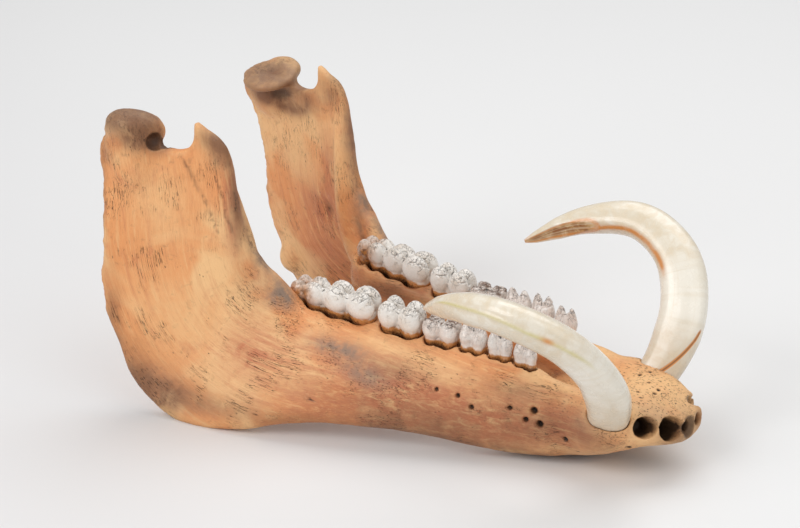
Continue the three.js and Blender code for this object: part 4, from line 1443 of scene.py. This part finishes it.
@dataclass
class Tusk:
    """One lower canine, curling out, up and back from its socket."""

    side: Side
    finish: IvoryFinish
    line: tuple[tuple[float, float, float], ...] = (
        (241, 13, 18), (253, 18.5, 25.5), (261.5, 27.2, 35.8), (265.5, 44.5, 61.6),
        (254.2, 60.3, 82.8), (229.3, 69, 94.1), (202.3, 63.5, 91.5), (174.9, 49.4, 79.4),
    )
    sizes: tuple[tuple[float, float, float], ...] = (
        (0, 6, 5), (0.14, 9.6, 6.8), (0.28, 11.8, 7.6), (0.45, 11.6, 7.8), (0.62, 10, 7.9),
        (0.78, 7.6, 7.2), (0.9, 5.4, 4.8), (0.97, 2.8, 2.4), (1, 0.9, 0.8),
    )
    spiral_normal: tuple[float, float, float] = (0.07, -0.78, 0.62)
    ridge: tuple[tuple[float, float], ...] = (
        (0.46, 323), (0.51, 315), (0.55, 311), (0.60, 306), (0.66, 311), (0.74, 319), (0.86, 338),
    )
    inner_edge: tuple[tuple[float, float], ...] = (
        (0.47, 131), (0.565, 135), (0.686, 142), (0.774, 154), (0.83, 166),
    )
    spot_share: float = 0.552
    grain_length: float = 210.0
    grain_radius: float = 11.0
    facet_angle: float = 142.0
    rings: int = 240
    around: int = 88
    piece: Optional[bpy.types.Object] = field(default=None, init=False)

    @property
    def node(self) -> str:
        """The CAD node that this tusk stands for."""
        return f"{self.side.name.lower()}_tusk"

    def _layout(self, rings: int, around: int, extra: float) -> tuple[Array, Array, Array]:
        """Lay out the tusk's rings.

        Args:
            rings: How many rings.
            around: How many points round each.
            extra: How much wider it is all round.

        Returns:
            The points, the shares along it and the angles round it.
        """
        shares = np.linspace(0, 1, rings)
        centre, onward = even_curve(self.line, shares)
        normal = np.array(self.spiral_normal) / np.linalg.norm(self.spiral_normal)
        outer = np.cross(onward, normal)
        outer /= np.linalg.norm(outer, axis=1)[:, None]
        flank = np.cross(outer, onward)
        table = np.array(self.sizes)
        radial = (np.interp(shares, table[:, 0], table[:, 1]) + extra)[:, None]
        thick = (np.interp(shares, table[:, 0], table[:, 2]) + extra)[:, None]
        angle = np.linspace(0, 2 * math.pi, around + 1)[:-1]
        out = radial * signed_power(np.cos(angle), 0.85)
        wide = thick * signed_power(np.sin(angle), 0.85) * (1 - 0.22 * np.cos(angle))
        if extra == 0:
            ridge = self._near_line(shares, angle, self.ridge, 9) * 0.075
            out, wide = out * (1 + ridge), wide * (1 + ridge)
            worn = np.radians(self.facet_angle)
            reach = out * math.cos(worn) + wide * math.sin(worn)
            keep = radial * (1.05 - 0.55 * ramp(0.79, 0.93, shares))[:, None]
            over = np.maximum(reach - keep, 0)
            out, wide = out - over * math.cos(worn), wide - over * math.sin(worn)
        points = centre[:, None] + outer[:, None] * out[..., None] + flank[:, None] * wide[..., None]
        return points * np.array([1, self.side.value, 1]), shares, angle

    def _near_line(self, shares: Array, angle: Array, line: Sequence[tuple[float, float]],
                   width: float) -> Array:
        """Weigh the places near a line that runs along the tusk.

        Args:
            shares: Shares of the length.
            angle: Angles round it, in radians.
            line: The line's angle in degrees at rising shares.
            width: Its half width in degrees.

        Returns:
            One weight for each share and angle.
        """
        table = np.array(line)
        aim = np.interp(shares, table[:, 0], table[:, 1])[:, None]
        gap = (np.degrees(angle)[None] - aim + 180) % 360 - 180
        first, last = table[0, 0], table[-1, 0]
        inside = ramp(first - 0.05, first + 0.03, shares) * ramp(last + 0.04, last - 0.02, shares)
        return np.exp(-((gap / width) ** 2)) * inside[:, None]

    def socket(self) -> bpy.types.Object:
        """Build the cutter that makes room for the tusk."""
        return skin("tusk socket", self._layout(60, 28, 0.35)[0])

    def build(self) -> None:
        """Model the tusk."""
        points, shares, angle = self._layout(self.rings, self.around, 0)
        self.piece = skin(f"tusk_{self.side.name.lower()}", points)
        flat = points.reshape(-1, 3)
        grain = np.stack([
            np.repeat(shares * self.grain_length, self.around),
            np.tile(np.cos(angle) * self.grain_radius, self.rings),
            np.tile(np.sin(angle) * self.grain_radius, self.rings),
        ], axis=1)
        net = Net.of(self.piece)
        nearest = nearest_rows(net.points, flat)
        keep(self.piece, "grain", grain[nearest])
        turn = np.ones_like(angle)[None]
        worn = self._near_line(shares, angle, ((0.80, self.facet_angle), (1, self.facet_angle)), 34)
        here = np.exp(-(((shares - self.spot_share) / 0.014) ** 2))[:, None]
        tip = ramp(0.965, 1, shares)[:, None] * 0.6 * turn
        rim = ramp(0.12, 0.3, worn) * ramp(0.62, 0.4, worn)
        values = {
            "line": self._near_line(shares, angle, self.ridge, 7),
            "edge": self._near_line(shares, angle, self.inner_edge, 9) * 1.3 + tip + rim,
            "facet": ramp(0.25, 0.75, worn),
            "base": (ramp(0.34, 0.22, shares)[:, None] * turn) * 0.35,
            "upper": ramp(0.44, 0.52, shares)[:, None] * turn,
            "spot": here * self._near_line(shares, angle, self.ridge, 10),
            "share": shares[:, None] * turn,
            "split": np.full(points.shape[:2], float(self.side is Side.LEFT)),
        }
        for name, value in values.items():
            keep(self.piece, name, np.clip(value, 0, 1).ravel()[nearest])
        keep(self.piece, "turn", np.tile(np.degrees(angle), self.rings)[nearest])

    def dress(self) -> None:
        """Give the tusk its finish and its place in the frame."""
        dress_piece(self.piece, self.finish.material(), self.node)


def nearest_rows(points: Array, rows: Array) -> Array:
    """Find the nearest of many rows for each point.

    Args:
        points: The places asked about.
        rows: The places to choose from.

    Returns:
        The index of the nearest row for each point.
    """
    tree = KDTree(len(rows))
    for index, row in enumerate(rows):
        tree.insert(row, index)
    tree.balance()
    return np.array([tree.find(point)[1] for point in points])


# The cheek teeth


@dataclass
class CheekTooth:
    """One cheek tooth with its crown, its neck and the tops of its roots."""

    name: str
    side: Side
    finish: EnamelFinish
    start: tuple[float, float]
    end: tuple[float, float]
    neck: tuple[float, float]
    rise: float
    width: float
    lobes: tuple[tuple[float, float], ...]
    crown: Crown = Crown.GRINDER
    tapers: bool = False
    stain: float = 0.0
    voxel: float = 0.38
    root_depth: float = 12.0
    piece: Optional[bpy.types.Object] = field(default=None, init=False)

    @property
    def node(self) -> str:
        """The CAD node that this tooth stands for."""
        return f"{self.side.name.lower()}_{self.name}"

    def _axes(self) -> tuple[Array, Array, Array, float]:
        """Find the tooth's middle, its forward and outward directions and half its length."""
        front, rear = np.array([*self.start, 0.0]), np.array([*self.end, 0.0])
        half = float(np.linalg.norm(front - rear)) / 2
        forward = (front - rear) / (2 * half)
        return (front + rear) / 2, forward, np.array([-forward[1], forward[0], 0]), half

    def place(self, long: Array, wide: Array, up: Array, extra: float = 0.0) -> Array:
        """Turn places on the tooth into measured ones.

        Args:
            long: From -1 at the rear end to 1 at the front end.
            wide: From -1 inside to 1 outside, in half widths.
            up: Height above the neck in millimetres.
            extra: How much wider it is all round.

        Returns:
            One point for each place.
        """
        middle, forward, outward, half = self._axes()
        level = self.neck[0] + (self.neck[1] - self.neck[0]) * (1 - long) / 2
        points = (
            middle
            + forward * (half * long + np.sign(long) * extra)[..., None]
            + outward * (self.width / 2 * wide + np.sign(wide) * extra)[..., None]
        )
        points[..., 2] = level + up
        return points * np.array([1, self.side.value, 1])

    def local(self, points: Array) -> Array:
        """Turn measured places into places on the tooth, as place takes them."""
        middle, forward, outward, half = self._axes()
        offset = points * (1, self.side.value, 1) - middle
        long = offset @ forward / half
        level = self.neck[0] + (self.neck[1] - self.neck[0]) * (1 - np.clip(long, -1, 1)) / 2
        return np.stack([long, offset @ outward / (self.width / 2), offset[:, 2] - level], axis=1)

    def _shrink(self, long: float) -> float:
        """Say how far a tapering tooth has lost its size at a place along it."""
        return ((1 - long) / 2) ** 2 if self.tapers else 0.0

    def _lump(self, long: float, wide: float, up: float, radii: Sequence[float],
              squareness: float = 2.0) -> bpy.types.Object:
        """Add a lump at a place on the tooth."""
        centre = self.place(np.array(long), np.array(wide), np.array(up))
        return lump("lump", centre, radii, 0.0, squareness)

    def socket(self) -> list[bpy.types.Object]:
        """Build the plain plug that makes room for the tooth, and the scallops of its rim."""
        stack = ((0.6, 0.55, -self.root_depth - 0.35), (0.9, 0.8, -2), (0.98, 1, 1.5), (0.98, 1, self.rise))
        cutters = [skin("tooth socket", self._stack(stack, 28, 0.84))]
        half = self._axes()[3]
        for long, reach in self.lobes:
            narrow = 1 - 0.24 * self._shrink(long)
            for wide in (0.72, -0.72):
                radii = (half * reach * 0.8, self.width * 0.24, 3.4)
                cutters.append(self._lump(long, wide * narrow, -0.8, radii))
        return cutters

    def _stack(self, stack: Sequence[tuple[float, float, float]], around: int, extra: float,
               middle: float = 0.0) -> Array:
        """Stack outlines from the root's end upwards.

        Args:
            stack: Share of the half length, share of the half width, and the height above the neck.
            around: How many points round each outline.
            extra: How much wider it is all round.
            middle: Where along the tooth the outlines are centred.

        Returns:
            Points by outline and by place round it.
        """
        angle = np.linspace(0, 2 * math.pi, around + 1)[:-1]
        long = signed_power(np.cos(angle), 0.8)
        wide = signed_power(np.sin(angle), 0.8)
        rings = []
        for share_long, share_wide, up in stack:
            at = middle + long * share_long
            lost = (np.clip(1 - at, 0, 2) / 2) ** 2 if self.tapers else np.zeros(around)
            height = np.where(up > 0, up * (1 - 0.3 * lost), up)
            rings.append(self.place(at, wide * share_wide * (1 - 0.24 * lost), height, extra))
        return np.array(rings)

    def build(self) -> None:
        """Model the tooth from its roots, core and cusps, then work its surface."""
        core = ((0.6, 0.4, -5), (0.86, 0.56, -1), (0.9, 0.6, self.rise * 0.45), (0.5, 0.3, self.rise * 0.6))
        parts = [skin(f"tooth_{self.node}", self._stack(core, 48, 0.0))]
        for long, reach in self.lobes:
            depth = -self.root_depth + 0.3
            root = (
                (reach * 0.45, 0.45, depth), (reach * 0.7, 0.66, -5),
                (reach * 0.84, 0.8, -1.5), (reach * 0.8, 0.8, 1.5),
            )
            parts.append(skin("root", self._stack(root, 24, 0.0, long)))
            parts += self._cusps(long, reach)
        self.piece = fuse(parts, self.voxel)
        net = Net.of(self.piece)
        net.relax(np.full(len(net.points), 0.5), 3)
        at = self.local(net.points)
        share = at[:, 2] / self.rise
        if self.crown is Crown.BLADE:
            at[:, 1] *= 1 - 0.42 * ramp(0.25, 1.0, share)
        if self.crown is Crown.WORN:
            ground = self.rise * 0.84 + 0.5 * Noise(31).at(net.points, 4, 2)
            ground += 0.8 * (np.abs(at[:, 1]) - 0.6)
            at[:, 2] = np.minimum(at[:, 2], ground)
        level = self.place(at[:, 0], at[:, 1], at[:, 2])
        net.points = level
        normals = net.normals(self.piece)
        p = net.points
        seed = 40 + len(self.name) + int(self.start[0])
        groove = np.abs(Noise(seed).at(p, 4.2, 2))
        top = ramp(0.42, 0.85, share)
        dent = ramp(0.15, 0.0, groove) * 0.45 * top + Noise(seed + 1).at(p, 2.6, 2) * 0.16 * (0.3 + top)
        net.points = p - normals * dent[:, None]
        normals = net.normals(self.piece)
        # hollow drives painted shade between the cusps.
        keep(self.piece, "hollow", net.hollows(normals, 5))
        keep(self.piece, "rise", share)
        worn = self.crown is Crown.WORN
        wear = ramp(0.70, 0.80, share) * ramp(0.86, 0.62, np.abs(at[:, 1])) if worn else 0 * share
        keep(self.piece, "wear", wear)
        keep(self.piece, "stain", self.stain * ramp(-0.25, -0.62, at[:, 0]))
        keep(self.piece, "blade", np.full(len(p), float(self.crown is not Crown.GRINDER)))
        keep(self.piece, "local", at * (self._axes()[3], self.width / 2, 1) + (self.start[0], 0, 0))

    def _cusps(self, long: float, reach: float) -> list[bpy.types.Object]:
        """Model the cusps of one lobe as egg-shaped lumps.

        Args:
            long: The lobe's middle along the tooth.
            reach: Half its length, as a share of the tooth's half length.

        Returns:
            The lumps.
        """
        half = self._axes()[3]
        lost = self._shrink(long)
        narrow, rise = 1 - 0.24 * lost, self.rise * (1 - 0.3 * lost)
        wide = self.width / 2 * narrow
        if self.crown is Crown.BLADE:
            blade = self._lump(
                long * 1.04, 0.05, rise * 0.36, (half * reach * 1.02, wide * 0.9, rise * 0.66), 1.6,
            )
            rib = self._lump(
                long * 0.35, -0.3, rise * 0.30, (half * reach * 0.6, wide * 0.7, rise * 0.50), 1.7,
            )
            return [blade, rib]
        outside = self._lump(
            long, 0.48 * narrow, rise * 0.42, (half * reach * 1.03, wide * 0.5, rise * 0.59),
        )
        inside = self._lump(
            long + 0.02, -0.46 * narrow, rise * 0.44, (half * reach * 0.97, wide * 0.5, rise * 0.60),
        )
        cusps = [outside, inside]
        if long - reach > -0.9:
            between = (half * 0.13, wide * 0.34, rise * 0.40)
            cusps.append(self._lump(long - reach, 0.34 * narrow, rise * 0.36, between))
        return cusps

    def dress(self) -> None:
        """Give the tooth its finish and its place in the frame."""
        dress_piece(self.piece, self.finish.material(), self.node)


def tooth_row(side: Side, finish: EnamelFinish) -> list[CheekTooth]:
    """List the cheek teeth of one side, from the front to the rear.

    Args:
        side: The animal's side.
        finish: The finish that they share.

    Returns:
        The teeth, not yet built.
    """
    pair = ((0.48, 0.49), (-0.47, 0.47))
    blade = ((0.45, 0.50), (-0.45, 0.50))
    four = ((0.64, 0.33), (0.07, 0.30), (-0.43, 0.25), (-0.78, 0.19))
    tall = side is Side.LEFT
    rises = (12.5, 14.0, 13.0) if tall else (9.3, 11.5, 11.8)
    return [
        CheekTooth("premolar_2", side, finish, (220, 20.6), (207.4, 21.2), (49.2, 50.2),
                   rises[0], 6.4, blade, Crown.BLADE),
        CheekTooth("premolar_3", side, finish, (207, 21.3), (193.9, 22), (51, 52),
                   rises[1], 8, blade, Crown.BLADE),
        CheekTooth("premolar_4", side, finish, (193.5, 22), (178.9, 22.6), (52.2, 52.8),
                   rises[2], 10.2, blade, Crown.BLADE),
        CheekTooth("molar_1", side, finish, (178.5, 22.6), (159.4, 23.6), (53, 54), 10.5, 12.8,
                   pair, Crown.WORN),
        CheekTooth("molar_2", side, finish, (159, 23.6), (135.2, 25.6), (54.5, 56.5), 12.2, 15.4, pair),
        CheekTooth("molar_3", side, finish, (134.8, 25.7), (87.5, 31.6), (57, 62.5), 12.6, 17.6, four,
                   tapers=True, stain=1.0),
    ]


# The studio


@dataclass
class Studio:
    """The pale table, the soft lights and the camera."""

    finish: FloorFinish
    camera_place: tuple[float, float, float] = (0.5210, -0.8627, 0.4887)
    camera_right: tuple[float, float, float] = (0.85256, 0.52250, -0.01197)
    camera_up: tuple[float, float, float] = (-0.18782, 0.32767, 0.92594)
    camera_ahead: tuple[float, float, float] = (-0.48773, 0.78717, -0.37749)
    focal_pixels: float = 2198.0
    sensor: float = 36.0

    def build(self) -> None:
        """Lay the table, hang the lights and set the camera."""
        bpy.ops.object.select_all(action="DESELECT")
        bpy.ops.mesh.primitive_grid_add(x_subdivisions=8, y_subdivisions=8, size=9)
        floor = bpy.context.object
        floor.name = "table"
        floor.data.materials.append(self.finish.material())
        self._light("key", (-0.5, -1.3, 1.05), 1.1, 13.5)
        self._light("fill", (1.2, -0.5, 1.1), 1.1, 4.5)
        self._light("top", (0.0, 0.75, 1.8), 1.6, 17.5)
        world = bpy.data.worlds.new("studio air")
        bpy.context.scene.world = world
        bpy.context.scene.view_settings.view_transform = "Standard"
        world.use_nodes = True
        world.node_tree.nodes["Background"].inputs["Color"].default_value = (1, 1, 1, 1)
        world.node_tree.nodes["Background"].inputs["Strength"].default_value = 0.46
        self._camera()

    def _light(self, name: str, place: tuple[float, float, float], size: float, power: float) -> None:
        """Hang one soft square light that faces the jaw.

        Args:
            name: Its name.
            place: Where it hangs, in metres.
            size: The length of its side.
            power: Its power in watts.
        """
        lamp = bpy.data.lights.new(name, "AREA")
        lamp.shape = "SQUARE"
        lamp.size = size
        lamp.energy = power
        holder = bpy.data.objects.new(name, lamp)
        bpy.context.scene.collection.objects.link(holder)
        holder.location = place
        holder.rotation_euler = (Vector((0, 0, 0.07)) - Vector(place)).to_track_quat("-Z", "Y").to_euler()

    def _camera(self) -> None:
        """Set the camera where the photograph was taken from."""
        data = bpy.data.cameras.new("camera")
        data.sensor_width = self.sensor
        data.lens = self.focal_pixels / IMAGE_SIZE[0] * self.sensor
        data.clip_start = 0.05
        data.clip_end = 20
        camera = bpy.data.objects.new("camera", data)
        bpy.context.scene.collection.objects.link(camera)
        axes = Matrix((self.camera_right, self.camera_up, [-v for v in self.camera_ahead])).transposed()
        camera.matrix_world = Matrix.Translation(self.camera_place) @ axes.to_4x4()
        bpy.context.scene.camera = camera


def main() -> None:
    """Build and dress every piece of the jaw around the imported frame."""
    logging.basicConfig(level=logging.INFO, format="%(asctime)s %(message)s")
    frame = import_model()
    Studio(FloorFinish()).build()
    ivory, enamel = IvoryFinish(), EnamelFinish()
    tusks = [Tusk(side, ivory) for side in Side]
    teeth = [tooth for side in Side for tooth in tooth_row(side, enamel)]
    bone = JawBone(BoneFinish())
    bone.build(frame["nodes"]["jaw_bone"], tusks, teeth)
    bone.dress()
    for part in [*tusks, *teeth]:
        part.build()
        part.dress()


if __name__ == "__main__":
    main()
